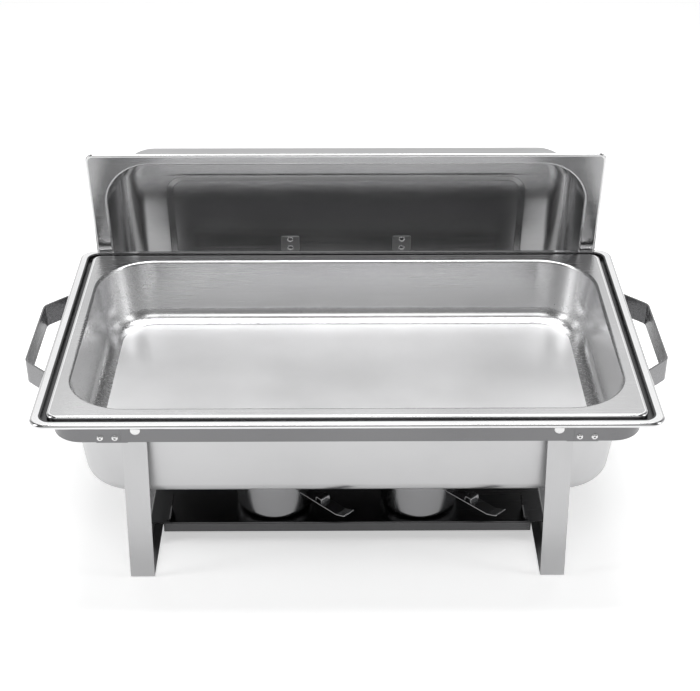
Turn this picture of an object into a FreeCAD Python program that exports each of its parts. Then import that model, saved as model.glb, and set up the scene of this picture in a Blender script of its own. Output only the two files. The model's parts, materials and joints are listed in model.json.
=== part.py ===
"""Full-size chafing dish: folding stand, water pan, food pan, lid and two fuel burners.

Everything is drawn about the centre of the pans, with the floor at Z = 0 and -Y as the
serving side. At the end the whole object is moved so that its box stands centred on the
origin. Lengths are millimetres and angles degrees.
"""
import FreeCAD, Part
import Sketcher
import math
import os

SIZES = {
    # sheet and strip
    "sheet_gauge": 0.8,
    "strip_gauge": 1.2,
    "rest_gap": 0.3,
    # food pan
    "rim_height": 184,
    "food_length": 530,
    "food_width": 304,
    "food_rim": 13,
    "long_side_extra": 2,
    "food_rim_corner": 10,
    "food_corner": 55,
    "food_depth": 65,
    "food_draft": 8,
    "food_base_round": 18,
    "food_hem": 5,
    "hem_gauge": 1.6,
    # water pan
    "pan_gap": 1.2,
    "groove": 4,
    "water_band": 9.5,
    "band_drop": 1,
    "water_hem": 5,
    "water_depth": 97,
    "water_draft": 6,
    "water_base_round": 15,
    # ring of the stand
    "ring_height": 20.8,
    "ring_corner": 28,
    "ring_end_gap": 7,
    "ring_side_gap": 11,
    "rail_beyond_pivot": 13.5,
    "splice_lap": 6,
    "splice_reach": 22,
    "splice_drop": 1.5,
    "splice_rivet": 2,
    "splice_rivet_near": 5,
    "splice_rivet_pitch": 13,
    "splice_rivet_drop": 16.2,
    "splice_rivet_lip": 0.8,
    # folding legs
    "pivot_reach": 186.5,
    "pivot_drop": 8.2,
    "pivot_shank": 2.5,
    "pivot_head": 4.75,
    "pivot_clearance": 0.06,
    "leg_width": 22.5,
    "leg_offset": 1.6,
    "leg_splay": 1.6,
    "leg_head": 5,
    "leg_bend": 1.1,
    "leg_head_round": 5,
    # side handles
    "handle_height": 23,
    "handle_gauge": 1.8,
    "handle_reach": 37.5,
    "handle_bar": 103,
    "handle_spread": 36,
    "handle_foot": 18,
    "handle_shift": 7.5,
    "handle_bend": 9,
    "handle_drop": 2,
    "handle_rivet_setback": 11,
    "handle_rivet": 2.2,
    # fuel shelf
    "shelf_height": 30,
    "shelf_end_inset": 2.95,
    "shelf_width": 210,
    "shelf_lip": 10.5,
    "shelf_lip_setback": 14,
    "shelf_end_notch": 3,
    "shelf_seat_gap": 0.1,
    "stop_end_setback": 19,
    "stop_setback": 14,
    "stop_height": 18,
    "stop_width": 20,
    "stop_lean": 10,
    # fuel burners
    "burner_reach": 70,
    "burner_front": 66,
    "cup_radius": 37.5,
    "cup_height": 44,
    "cup_base_round": 8,
    "cup_gauge": 0.8,
    "cover_gap": 0.1,
    "cover_skirt": 13,
    "cover_mouth": 24,
    "grip_width": 13,
    "grip_gauge": 1.0,
    "grip_foot": 9,
    "grip_length": 52,
    "grip_tip": 12,
    "grip_tip_rise": 5,
    "grip_turn": -45,
    "grip_tab_place": 26,
    "grip_tab_height": 7,
    "grip_tab_inset": 1.5,
    "snuffer_radius": 26,
    "snuffer_pivot": 31,
    "snuffer_gauge": 1.0,
    "snuffer_lever": 18,
    "snuffer_lever_width": 10,
    "snuffer_turn": 60,
    "snuffer_shank": 1.5,
    "snuffer_head": 3,
    # lid
    "lid_end_inset": 1.5,
    "lid_side_inset": 2,
    "lid_side_border": 17.5,
    "lid_end_border": 12,
    "lid_rim_corner": 8,
    "lid_corner": 47,
    "lid_hem": 3.5,
    "lid_depth": 61.5,
    "lid_draft": 10,
    "lid_base_round": 24,
    "lid_lean": 7,
    "lid_gap": 0.5,
    "ridge_length": 385,
    "ridge_width": 174,
    "ridge_corner": 19,
    "ridge_height": 2.5,
    # lid handle
    "lid_handle_width": 20,
    "lid_handle_gauge": 1.8,
    "lid_handle_reach": 30,
    "lid_handle_bar": 62,
    "lid_handle_spread": 20,
    "lid_handle_foot": 21,
    "lid_handle_bend": 8,
    "plate_length": 20,
    "plate_width": 19,
    "plate_gauge": 1.0,
    "lid_rivet": 2.2,
    "lid_rivet_pitch": 11,
    # rivets
    "rivet_head": 1.6,
    "rivet_taper": 0.6,
    "rivet_tail_lip": 0.9,
    "handle_rivet_lip": 1.6,
    "lid_rivet_lip": 1.2,
}

doc = FreeCAD.newDocument("chafing_dish")
sheet = doc.addObject("Spreadsheet::Sheet", "Sizes")
for row, (name, value) in enumerate(SIZES.items(), start=1):
    sheet.set(f"A{row}", name)
    sheet.set(f"B{row}", str(value))
    sheet.setAlias(f"B{row}", name)
doc.recompute()

# Places that follow from the driving sizes, as expressions on the sheet.
FOOD_X = "Sizes.food_length / 2"
FOOD_Y = "Sizes.food_width / 2"
WELL_X = f"({FOOD_X} - Sizes.food_rim)"
WELL_Y = f"({FOOD_Y} - Sizes.food_rim - Sizes.long_side_extra)"
LEDGE_Z = "(Sizes.rim_height - Sizes.food_hem)"
BAND_Z = "(Sizes.rim_height - Sizes.band_drop)"
BAND_X = f"({FOOD_X} + Sizes.groove)"
BAND_Y = f"({FOOD_Y} + Sizes.groove)"
WATER_X = f"({BAND_X} + Sizes.water_band)"
WATER_Y = f"({BAND_Y} + Sizes.water_band - Sizes.long_side_extra)"
BATH_X = f"({WELL_X} + Sizes.sheet_gauge + Sizes.pan_gap)"
BATH_Y = f"({WELL_Y} + Sizes.sheet_gauge + Sizes.pan_gap)"
BATH_CORNER = "(Sizes.food_corner + Sizes.sheet_gauge + Sizes.pan_gap)"
RING_INNER_X = f"({BATH_X} + Sizes.sheet_gauge + Sizes.ring_end_gap)"
RING_INNER_Y = f"({BATH_Y} + Sizes.sheet_gauge + Sizes.ring_side_gap)"
RING_X = f"({RING_INNER_X} + Sizes.strip_gauge)"
RING_Y = f"({RING_INNER_Y} + Sizes.strip_gauge)"
RING_TOP = f"({LEDGE_Z} - Sizes.sheet_gauge)"
RING_BASE = f"({RING_TOP} - Sizes.ring_height)"
SPLICE_Y = f"({RING_INNER_Y} - Sizes.strip_gauge)"
LEG_Y = f"({SPLICE_Y} - Sizes.rest_gap)"
RAIL_X = "(Sizes.pivot_reach + Sizes.rail_beyond_pivot)"
PIVOT_Z = f"({RING_TOP} - Sizes.pivot_drop)"
SPLICE_RIVET_Z = f"({RING_TOP} - Sizes.splice_rivet_drop)"
LEG_TOP_X = "(Sizes.pivot_reach + Sizes.leg_offset)"
LEG_TOP_Z = f"({PIVOT_Z} + Sizes.leg_head)"
LEG_FOOT_X = f"({LEG_TOP_X} + tan(Sizes.leg_splay) * ({LEG_TOP_Z} - Sizes.strip_gauge))"
SHELF_X = f"({LEG_FOOT_X} - Sizes.shelf_end_inset)"
SHELF_LIP_X = f"({SHELF_X} - Sizes.shelf_lip_setback)"
STOP_X = f"({SHELF_X} - Sizes.stop_end_setback)"
HANDLE_TOP = f"({BAND_Z} - Sizes.water_hem - Sizes.handle_drop)"
LID_X = f"({FOOD_X} - Sizes.lid_end_inset)"
LID_Y = f"({FOOD_Y} - Sizes.lid_side_inset)"
LID_CENTRE_Z = f"({LID_Y} * cos(Sizes.lid_lean))"
LID_CENTRE_Y = (f"({WATER_Y} + Sizes.lid_gap"
                f" + ({BAND_Z} - {LID_CENTRE_Z}) * tan(Sizes.lid_lean))")
DOME_Z = "(Sizes.lid_depth + Sizes.ridge_height)"
LID_FOOT_X = ("(Sizes.lid_handle_bar / 2 + Sizes.lid_handle_spread"
              " + Sizes.lid_handle_foot / 2)")
COVER_TOP = "(Sizes.cup_height + Sizes.cup_gauge)"
COVER_RADIUS = "(Sizes.cup_radius + Sizes.cover_gap + Sizes.cup_gauge)"

parts = []


def measure(expression):
    """The number that an expression on the sheet stands for."""
    return float(sheet.evalExpression(expression))


def size(name):
    return float(sheet.get(name))


# ---------------------------------------------------------------- sketches and features

def tool_body(label):
    """A body that another piece is made from."""
    body = doc.addObject("PartDesign::Body", label)
    body.Label = label
    return body


def new_body(label):
    """A body that is a piece of its own."""
    body = tool_body(label)
    parts.append(body)
    return body


def new_sketch(body, role, lift):
    """An empty sketch on one of the body's own origin planes, raised along its normal."""
    plane = next(item for item in body.Origin.OriginFeatures if item.Role == role)
    sketch = body.newObject("Sketcher::SketchObject", f"{body.Label}_sketch")
    sketch.AttachmentSupport = [(plane, "")]
    sketch.MapMode = "FlatFace"
    sketch.setExpression("AttachmentOffset.Base.z", lift)
    return sketch


def bind(sketch, kind, first, second, expression):
    """A dimension of the sketch that follows an expression."""
    value = measure(expression)
    index = sketch.addConstraint(Sketcher.Constraint(kind, *first, *second, value))
    sketch.setExpression(f"Constraints[{index}]", expression)


def outline(sketch, corners):
    """A closed outline of straight lines; each corner is a pair of expressions."""
    start = sketch.GeometryCount
    points = [FreeCAD.Vector(measure(x), measure(y), 0) for x, y in corners]
    count = len(points)
    for index, point in enumerate(points):
        sketch.addGeometry(Part.LineSegment(point, points[(index + 1) % count]))
    for index in range(count):
        follower = start + (index + 1) % count
        sketch.addConstraint(Sketcher.Constraint("Coincident", start + index, 2, follower, 1))
    for index, (x, y) in enumerate(corners):
        bind(sketch, "DistanceX", (-1, 1), (start + index, 1), x)
        bind(sketch, "DistanceY", (-1, 1), (start + index, 1), y)


def rectangle(sketch, low_x, low_y, high_x, high_y):
    outline(sketch, [(low_x, low_y), (high_x, low_y), (high_x, high_y), (low_x, high_y)])


def circle(sketch, x, y, radius):
    centre = FreeCAD.Vector(measure(x), measure(y), 0)
    index = sketch.addGeometry(Part.Circle(centre, FreeCAD.Vector(0, 0, 1), measure(radius)))
    bind(sketch, "DistanceX", (-1, 1), (index, 3), x)
    bind(sketch, "DistanceY", (-1, 1), (index, 3), y)
    bind(sketch, "Radius", (index,), (), radius)


def rounded_rectangle(sketch, half_x, half_y, radius):
    """A rectangle about the origin with four tangent corner arcs."""
    wide, deep, turn = measure(half_x), measure(half_y), measure(radius)
    signs = [(1, -1), (1, 1), (-1, 1), (-1, -1)]
    centres = [FreeCAD.Vector(sx * (wide - turn), sy * (deep - turn), 0) for sx, sy in signs]
    starts = [-math.pi / 2, 0, math.pi / 2, math.pi]
    for centre, angle in zip(centres, starts):
        rim = Part.Circle(centre, FreeCAD.Vector(0, 0, 1), turn)
        sketch.addGeometry(Part.ArcOfCircle(rim, angle, angle + math.pi / 2))
    for index in range(4):
        begin = sketch.Geometry[index].EndPoint
        end = sketch.Geometry[(index + 1) % 4].StartPoint
        line = sketch.addGeometry(Part.LineSegment(begin, end))
        sketch.addConstraint(Sketcher.Constraint("Tangent", index, 2, line, 1))
        sketch.addConstraint(Sketcher.Constraint("Tangent", line, 2, (index + 1) % 4, 1))
        upright = index % 2 == 0
        sketch.addConstraint(Sketcher.Constraint("Vertical" if upright else "Horizontal", line))
    for index in range(1, 4):
        sketch.addConstraint(Sketcher.Constraint("Equal", 0, index))
    bind(sketch, "Radius", (0,), (), radius)
    bind(sketch, "DistanceX", (-1, 1), (0, 2), half_x)
    bind(sketch, "DistanceY", (-1, 1), (0, 1), f"-({half_y})")
    bind(sketch, "DistanceX", (-1, 1), (2, 2), f"-({half_x})")
    bind(sketch, "DistanceY", (-1, 1), (2, 1), half_y)


def extrude(body, sketch, length, kind="Pad", backwards=False):
    """A pad or pocket of the sketch."""
    before = body.Shape.Volume if body.Tip else 0.0
    feature = body.newObject(f"PartDesign::{kind}", f"{body.Label}_{kind.lower()}")
    feature.Profile = sketch
    feature.setExpression("Length", length)
    feature.Reversed = backwards
    check_change(body, before, kind == "Pad")


def drafted_block(body, outline_sizes, top, depth, draft):
    """A rounded block whose walls lean in as they go down from the top."""
    before = body.Shape.Volume if body.Tip else 0.0
    sketches = []
    for drop in ("0", depth):
        sketch = new_sketch(body, "XY_Plane", f"{top} - {drop}")
        lean = f"{drop} * tan({draft})"
        rounded_rectangle(sketch, *(f"{value} - {lean}" for value in outline_sizes))
        sketches.append(sketch)
    loft = body.newObject("PartDesign::AdditiveLoft", f"{body.Label}_loft")
    loft.Profile = (sketches[0], [""])
    loft.Sections = [(sketches[1], [""])]
    loft.Ruled = True
    check_change(body, before, True)


def check_change(body, before, grows):
    """Recompute, and make sure that the newest feature added or removed something."""
    doc.recompute()
    grown = body.Shape.Volume - before
    if (grown <= 0) == grows:
        raise RuntimeError(f"{body.Tip.Name} on {body.Label} changed nothing")


def round_edges(body, radius, chosen):
    """A fillet on every edge of the body that the test picks."""
    names = [f"Edge{index}" for index, edge in enumerate(body.Shape.Edges, start=1)
             if chosen(edge.BoundBox)]
    if not names:
        raise RuntimeError(f"no edge to round on {body.Label}")
    base = body.Tip
    fillet = body.newObject("PartDesign::Fillet", f"{body.Label}_fillet")
    fillet.Base = (base, names)
    fillet.setExpression("Radius", radius)
    doc.recompute()


def block(body, low, high):
    """A box between two corners, drawn on the XY plane."""
    sketch = new_sketch(body, "XY_Plane", low[2])
    rectangle(sketch, low[0], low[1], high[0], high[1])
    extrude(body, sketch, f"({high[2]}) - ({low[2]})")


def revolve(body, corners):
    """A turned piece: an outline of (radius, height) pairs spun about the Z axis."""
    sketch = new_sketch(body, "XZ_Plane", "0")
    outline(sketch, corners)
    feature = body.newObject("PartDesign::Revolution", f"{body.Label}_turning")
    feature.Profile = sketch
    feature.ReferenceAxis = (sketch, ["V_Axis"])
    feature.Angle = 360
    check_change(body, 0.0, True)


def drill(body, role, places, radius, length, backwards=False, lift="0"):
    """Round holes at (x, y) places of a sketch on one of the body's planes."""
    sketch = new_sketch(body, role, lift)
    for x, y in places:
        circle(sketch, x, y, radius)
    extrude(body, sketch, length, "Pocket", backwards)


def level(box, height, slack=0.01):
    """Whether an edge's box lies flat at this height."""
    return abs(box.ZMin - height) < slack and abs(box.ZMax - height) < slack


def runs_along(axis, places, slack=0.02):
    """A test for straight edges parallel to an axis through one of these places."""
    others = [name for name in "XYZ" if name != axis]
    points = [(measure(first), measure(second)) for first, second in places]

    def chosen(box):
        if getattr(box, f"{axis}Length") < 0.5:
            return False
        if any(getattr(box, f"{name}Length") > slack for name in others):
            return False
        spot = [getattr(box, f"{name}Min") for name in others]
        return any(math.dist(spot, point) < slack * 2 for point in points)

    return chosen


# ---------------------------------------------------------------- pans and lid

def rim_with_hem(body, rim, top, hem, roof):
    """The rim of a drawn shell: a rounded block with the space inside its hem hollow.

    rim is (half length, half width, corner radius); roof is what stays above the hollow.
    """
    rim_sketch = new_sketch(body, "XY_Plane", top)
    rounded_rectangle(rim_sketch, *rim)
    extrude(body, rim_sketch, hem, backwards=True)
    underside = new_sketch(body, "XY_Plane", f"{top} - {hem}")
    rounded_rectangle(underside, *(f"{value} - Sizes.hem_gauge" for value in rim))
    extrude(body, underside, f"{hem} - {roof}", "Pocket", backwards=True)


def drawn_well(body, well, top, inset):
    """A deep-drawn well as a solid: ((half length, half width, corner), depth, draft, round).

    inset is how far it lies within the well's outside, as an expression.
    """
    opening, depth, draft, base_round = well
    grown = [f"{value} + Sizes.sheet_gauge - {inset}" for value in opening]
    drafted_block(body, grown, top, f"({depth} - {inset})", draft)
    base = measure(f"{top} - {depth} + {inset}")
    round_edges(body, f"{base_round} - {inset}", lambda box: level(box, base))


def well_core(label, well, top):
    """The space inside a well, one sheet thickness within its outside."""
    core = tool_body(f"{label}_core")
    drawn_well(core, well, top, "Sizes.sheet_gauge")
    return core


def hollow_out(label, outside, core):
    """The finished shell: its outside less its core."""
    shell = doc.addObject("Part::Cut", label)
    shell.Label = label
    shell.Base = outside
    shell.Tool = core
    parts.append(shell)
    return shell


def make_food_pan():
    outside = tool_body("food_pan_outside")
    top = "Sizes.rim_height"
    rim_with_hem(outside, (FOOD_X, FOOD_Y, "Sizes.food_rim_corner"), top, "Sizes.food_hem",
                 "Sizes.sheet_gauge")
    well = ((WELL_X, WELL_Y, "Sizes.food_corner"), "Sizes.food_depth", "Sizes.food_draft",
            "Sizes.food_base_round")
    drawn_well(outside, well, top, "0")
    hollow_out("food_pan", outside, well_core("food_pan", well, top))


def make_water_pan():
    outside = tool_body("water_pan_outside")
    rim = (WATER_X, WATER_Y, "Sizes.food_rim_corner + Sizes.groove")
    rim_with_hem(outside, rim, BAND_Z, "Sizes.water_hem", f"({BAND_Z} - {RING_TOP})")
    depth = "(Sizes.water_depth + Sizes.food_hem - Sizes.band_drop)"
    well = ((BATH_X, BATH_Y, BATH_CORNER), depth, "Sizes.water_draft", "Sizes.water_base_round")
    drawn_well(outside, well, BAND_Z, "0")
    recess = new_sketch(outside, "XY_Plane", BAND_Z)
    rounded_rectangle(recess, BAND_X, BAND_Y, "Sizes.food_rim_corner")
    extrude(outside, recess, f"{BAND_Z} - {LEDGE_Z}", "Pocket")
    hollow_out("water_pan", outside, well_core("water_pan", well, BAND_Z))


def make_lid_shell():
    outside = tool_body("lid_shell_outside")
    rim_with_hem(outside, (LID_X, LID_Y, "Sizes.lid_rim_corner"), "0", "Sizes.lid_hem",
                 "Sizes.sheet_gauge")
    opening = (f"{LID_X} - Sizes.lid_side_border", f"{LID_Y} - Sizes.lid_end_border",
               "Sizes.lid_corner")
    well = (opening, "Sizes.lid_depth", "Sizes.lid_draft", "Sizes.lid_base_round")
    drawn_well(outside, well, "0", "0")
    core = well_core("lid_shell", well, "0")
    ridge = ("Sizes.ridge_length / 2", "Sizes.ridge_width / 2", "Sizes.ridge_corner")
    for body, inset in ((outside, "0"), (core, "Sizes.sheet_gauge")):
        plateau = new_sketch(body, "XY_Plane", f"{inset} - Sizes.lid_depth")
        rounded_rectangle(plateau, *(f"{value} - {inset}" for value in ridge))
        extrude(body, plateau, "Sizes.ridge_height", backwards=True)
    drill(outside, "XY_Plane", lid_rivet_places(), "Sizes.lid_rivet",
          "3 * Sizes.sheet_gauge", backwards=True, lift=f"-{DOME_Z}")
    lid_place(hollow_out("lid_shell", outside, core))


def lid_place(body):
    """Stand a lid piece, drawn as an upturned tray about its rim, on edge behind the pans."""
    turn = FreeCAD.Rotation(FreeCAD.Vector(1, 0, 0), 90 + size("lid_lean"))
    place = FreeCAD.Vector(0, measure(LID_CENTRE_Y), measure(LID_CENTRE_Z))
    body.Placement = FreeCAD.Placement(place, turn)


def lid_rivet_places():
    """Where the lid handle's feet are riveted through the lid, as (X, Y) on the lid."""
    step = "Sizes.lid_rivet_pitch / 2"
    return [(f"{sx} * {LID_FOOT_X}", f"{sy} * {step}") for sx in (-1, 1) for sy in (-1, 1)]


# ---------------------------------------------------------------- bent strip handles

def strip_corners(gauge, reach, bar, spread, foot, start):
    """Corners of a hat-shaped strip as (outward, along) pairs: the near face, then the back.

    Two feet lie on the line `start`, and the bar between them stands `reach` further out.
    """
    miter = f"({gauge} * tan(atan({reach} / {spread}) / 2))"
    half = f"({bar} / 2)"
    root = f"({half} + {spread})"
    end = f"({root} + {foot})"
    far = f"({start} + {reach})"
    near_half = [(start, end), (start, root), (far, half)]
    back_half = [(f"{start} + {gauge}", end), (f"{start} + {gauge}", f"{root} + {miter}"),
                 (f"{far} + {gauge}", f"{half} + {miter}")]
    near = near_half + [(out, f"-({along})") for out, along in reversed(near_half)]
    back = [(out, f"-({along})") for out, along in back_half] + back_half[::-1]
    return near + back


def bend_strip(body, corners, gauge, radius, axis):
    """Round the eight bend corners; a bend's outer face has the inner radius plus the gauge."""
    inside = [corners[index] for index in (2, 3, 7, 10)]
    outside = [corners[index] for index in (1, 4, 8, 9)]
    round_edges(body, radius, runs_along(axis, inside))
    round_edges(body, f"{radius} + {gauge}", runs_along(axis, outside))


def make_side_handle(label, side):
    body = new_body(label)
    across = strip_corners("Sizes.handle_gauge", "Sizes.handle_reach", "Sizes.handle_bar",
                           "Sizes.handle_spread", "Sizes.handle_foot", RING_X)
    corners = [(f"{side} * ({out})", f"Sizes.handle_shift + ({along})")
               for out, along in across]
    sketch = new_sketch(body, "XY_Plane", f"{HANDLE_TOP} - Sizes.handle_height")
    outline(sketch, corners)
    extrude(body, sketch, "Sizes.handle_height")
    bend_strip(body, corners, "Sizes.handle_gauge", "Sizes.handle_bend", "Z")
    drill(body, "YZ_Plane", side_rivet_places(), "Sizes.handle_rivet",
          f"{RING_X} + 2 * Sizes.handle_gauge", backwards=side > 0)


def side_rivet_places():
    """Where the side handles are riveted to the end bands, as (Y, Z)."""
    reach = "(Sizes.handle_bar / 2 + Sizes.handle_spread + Sizes.handle_rivet_setback)"
    height = f"{HANDLE_TOP} - Sizes.handle_height / 2"
    return [(f"Sizes.handle_shift + {sign} * {reach}", height) for sign in (-1, 1)]


def make_lid_handle():
    body = new_body("lid_handle")
    across = strip_corners("Sizes.lid_handle_gauge", "Sizes.lid_handle_reach",
                           "Sizes.lid_handle_bar", "Sizes.lid_handle_spread",
                           "Sizes.lid_handle_foot", DOME_Z)
    corners = [(along, f"-({out})") for out, along in across]
    sketch = new_sketch(body, "XZ_Plane", "-Sizes.lid_handle_width / 2")
    outline(sketch, corners)
    extrude(body, sketch, "Sizes.lid_handle_width")
    bend_strip(body, corners, "Sizes.lid_handle_gauge", "Sizes.lid_handle_bend", "Y")
    drill(body, "XY_Plane", lid_rivet_places(), "Sizes.lid_rivet",
          "2 * Sizes.lid_handle_gauge", lift=f"-{DOME_Z}")
    lid_place(body)


def make_lid_plate(label, side):
    """The plate inside the lid that backs one foot of its handle."""
    body = new_body(label)
    top = f"(Sizes.sheet_gauge + Sizes.plate_gauge - {DOME_Z})"
    middle = f"({side} * {LID_FOOT_X})"
    block(body, (f"{middle} - Sizes.plate_length / 2", "-Sizes.plate_width / 2",
                 f"{top} - Sizes.plate_gauge"),
          (f"{middle} + Sizes.plate_length / 2", "Sizes.plate_width / 2", top))
    holes = [place for place in lid_rivet_places() if place[0].startswith(f"{side} *")]
    drill(body, "XY_Plane", holes, "Sizes.lid_rivet", "2 * Sizes.plate_gauge", lift=top)
    lid_place(body)


# ---------------------------------------------------------------- ring of the stand

def upright_strip(body, outer_y, corners, holes=()):
    """A flat strip on edge whose outer face is at -outer_y, or +outer_y if it is negative."""
    front = not outer_y.startswith("-")
    lift = f"{outer_y} - Sizes.strip_gauge" if front else outer_y
    sketch = new_sketch(body, "XZ_Plane", lift)
    outline(sketch, corners)
    for x, z, radius in holes:
        circle(sketch, x, z, radius)
    extrude(body, sketch, "Sizes.strip_gauge")


def box_corners(low_x, low_z, high_x, high_z):
    return [(low_x, low_z), (high_x, low_z), (high_x, high_z), (low_x, high_z)]


def splice_holes(side):
    """Holes for the two small rivets that join a splice plate to an end band."""
    near = f"({RAIL_X} + Sizes.splice_rivet_near)"
    far = f"({near} + Sizes.splice_rivet_pitch)"
    return [(f"{side} * {reach}", SPLICE_RIVET_Z, "Sizes.splice_rivet")
            for reach in (near, far)]


def make_rail(label, outer_y):
    body = new_body(label)
    holes = [(f"{side} * Sizes.pivot_reach", PIVOT_Z, "Sizes.pivot_shank")
             for side in (-1, 1)]
    upright_strip(body, outer_y, box_corners(f"-{RAIL_X}", RING_BASE,
                                             RAIL_X, RING_TOP), holes)


def make_end_band(label, side):
    """The U-shaped band round one end of the ring, from one rail to the other."""
    body = new_body(label)
    outer = new_sketch(body, "XY_Plane", RING_BASE)
    rounded_rectangle(outer, RING_X, RING_Y, "Sizes.ring_corner")
    extrude(body, outer, "Sizes.ring_height")
    inner = new_sketch(body, "XY_Plane", RING_TOP)
    rounded_rectangle(inner, RING_INNER_X, RING_INNER_Y,
                      "Sizes.ring_corner - Sizes.strip_gauge")
    extrude(body, inner, "Sizes.ring_height", "Pocket")
    rest = new_sketch(body, "XY_Plane", RING_TOP)
    rectangle(rest, f"-{side} * ({RING_X} + 1)", f"-{RING_Y} - 1",
              f"{side} * {RAIL_X}", f"{RING_Y} + 1")
    extrude(body, rest, "Sizes.ring_height", "Pocket")
    holes = [(x, z) for x, z, radius in splice_holes(side)]
    for backwards in (False, True):
        drill(body, "XZ_Plane", holes, "Sizes.splice_rivet", f"2 * {RING_Y}", backwards)
    drill(body, "YZ_Plane", side_rivet_places(), "Sizes.handle_rivet", f"2 * {RING_X}",
          backwards=side > 0)


def make_splice(label, side, outer_y):
    """The plate behind the joint of a rail and an end band; its edge shows below the band."""
    body = new_body(label)
    inner_x = f"{side} * ({RAIL_X} - Sizes.splice_lap)"
    outer_x = f"{side} * ({RAIL_X} + Sizes.splice_reach)"
    upright_strip(body, outer_y, box_corners(inner_x, f"{RING_BASE} - Sizes.splice_drop",
                                             outer_x, f"{RING_TOP} - Sizes.splice_drop"),
                  splice_holes(side))


# ---------------------------------------------------------------- folding legs

def make_leg(label, side):
    """A U-shaped strip: two splayed uprights inside the rails and a bar on the floor."""
    body = new_body(label)
    half = "Sizes.leg_width / 2"
    gauge = "Sizes.strip_gauge"
    block(body, (f"{side} * {LEG_FOOT_X} - {half}", f"-{LEG_Y}", "0"),
          (f"{side} * {LEG_FOOT_X} + {half}", LEG_Y, gauge))
    corners = [(f"{side} * {LEG_FOOT_X} - {half}", gauge), (f"{side} * {LEG_FOOT_X} + {half}", gauge),
               (f"{side} * {LEG_TOP_X} + {half}", LEG_TOP_Z),
               (f"{side} * {LEG_TOP_X} - {half}", LEG_TOP_Z)]
    hole = (f"{side} * Sizes.pivot_reach", PIVOT_Z,
            "Sizes.pivot_shank + Sizes.pivot_clearance")
    for outer_y in (LEG_Y, f"-{LEG_Y}"):
        upright_strip(body, outer_y, corners, [hole])
    floor_bends = [(f"{sign} * {LEG_Y}", "0") for sign in (-1, 1)]
    round_edges(body, "Sizes.leg_bend", runs_along("X", floor_bends))
    round_edges(body, "Sizes.leg_head_round", runs_along("Y", corners[2:]))


# ---------------------------------------------------------------- fuel shelf and burners

def make_fuel_shelf():
    body = new_body("fuel_shelf")
    gauge = "Sizes.strip_gauge"
    half_x, half_y = SHELF_X, "(Sizes.shelf_width / 2)"
    top = "Sizes.shelf_height"
    block(body, (f"-{half_x}", f"-{half_y}", f"{top} - {gauge}"), (half_x, half_y, top))
    for sign in (-1, 1):
        edge = [f"{sign} * {half_y}", f"{sign} * ({half_y} - {gauge})"]
        block(body, (f"-{SHELF_LIP_X}", edge[0], f"{top} - Sizes.shelf_lip"),
              (SHELF_LIP_X, edge[1], f"{top} - {gauge}"))
        end = [f"{sign} * {half_x}", f"{sign} * ({half_x} - {gauge})"]
        block(body, (end[0], f"-{half_y} + Sizes.shelf_end_notch", f"{gauge} + Sizes.shelf_seat_gap"),
              (end[1], f"{half_y} - Sizes.shelf_end_notch", f"{top} - {gauge}"))
    lean = "Sizes.stop_height * tan(Sizes.stop_lean)"
    base_z, tip_z = f"{top} - {gauge}", f"{top} + Sizes.stop_height"
    near = f"({STOP_X} - Sizes.strip_gauge)"
    middle_y = "(Sizes.shelf_width / 2 - Sizes.stop_setback)"
    for sign_y in (-1, 1):
        for side in (-1, 1):
            sketch = new_sketch(body, "XZ_Plane", f"{sign_y} * {middle_y} - Sizes.stop_width / 2")
            outline(sketch, [(f"{side} * {STOP_X}", base_z), (f"{side} * {near}", base_z),
                             (f"{side} * ({near} - {lean})", tip_z),
                             (f"{side} * ({STOP_X} - {lean})", tip_z)])
            extrude(body, sketch, "Sizes.stop_width")


def burner_place(body, side, turn="0"):
    """Seat a burner piece, drawn about its own axis with its base at Z = 0, on the shelf."""
    body.setExpression("Placement.Base.x", f"{side} * Sizes.burner_reach")
    body.setExpression("Placement.Base.y", "-Sizes.burner_front")
    body.setExpression("Placement.Base.z", "Sizes.shelf_height")
    body.setExpression("Placement.Rotation.Angle", turn)


def make_cup(label, side):
    body = new_body(label)
    gauge = "Sizes.cup_gauge"
    inner = f"(Sizes.cup_radius - {gauge})"
    revolve(body, [("0", "0"), ("Sizes.cup_radius", "0"), ("Sizes.cup_radius", "Sizes.cup_height"),
                   (inner, "Sizes.cup_height"), (inner, gauge), ("0", gauge)])
    base_round = "Sizes.cup_base_round"
    round_edges(body, base_round, lambda box: level(box, 0))
    floor = measure(gauge)
    round_edges(body, f"{base_round} - {gauge}", lambda box: level(box, floor))
    burner_place(body, side)


def make_cover(label, side):
    """The cap over a cup, with a round mouth for the flame and a skirt outside the cup."""
    body = new_body(label)
    inner = f"({COVER_RADIUS} - Sizes.cup_gauge)"
    skirt = f"{COVER_TOP} - Sizes.cover_skirt"
    revolve(body, [("Sizes.cover_mouth", "Sizes.cup_height"), (inner, "Sizes.cup_height"),
                   (inner, skirt), (COVER_RADIUS, skirt), (COVER_RADIUS, COVER_TOP),
                   ("Sizes.cover_mouth", COVER_TOP)])
    x = "Sizes.snuffer_pivot * cos(Sizes.snuffer_turn)"
    y = "Sizes.snuffer_pivot * sin(Sizes.snuffer_turn)"
    drill(body, "XY_Plane", [(x, y)], "Sizes.snuffer_shank", "2 * Sizes.cup_gauge",
          lift=COVER_TOP)
    burner_place(body, side)


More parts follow.
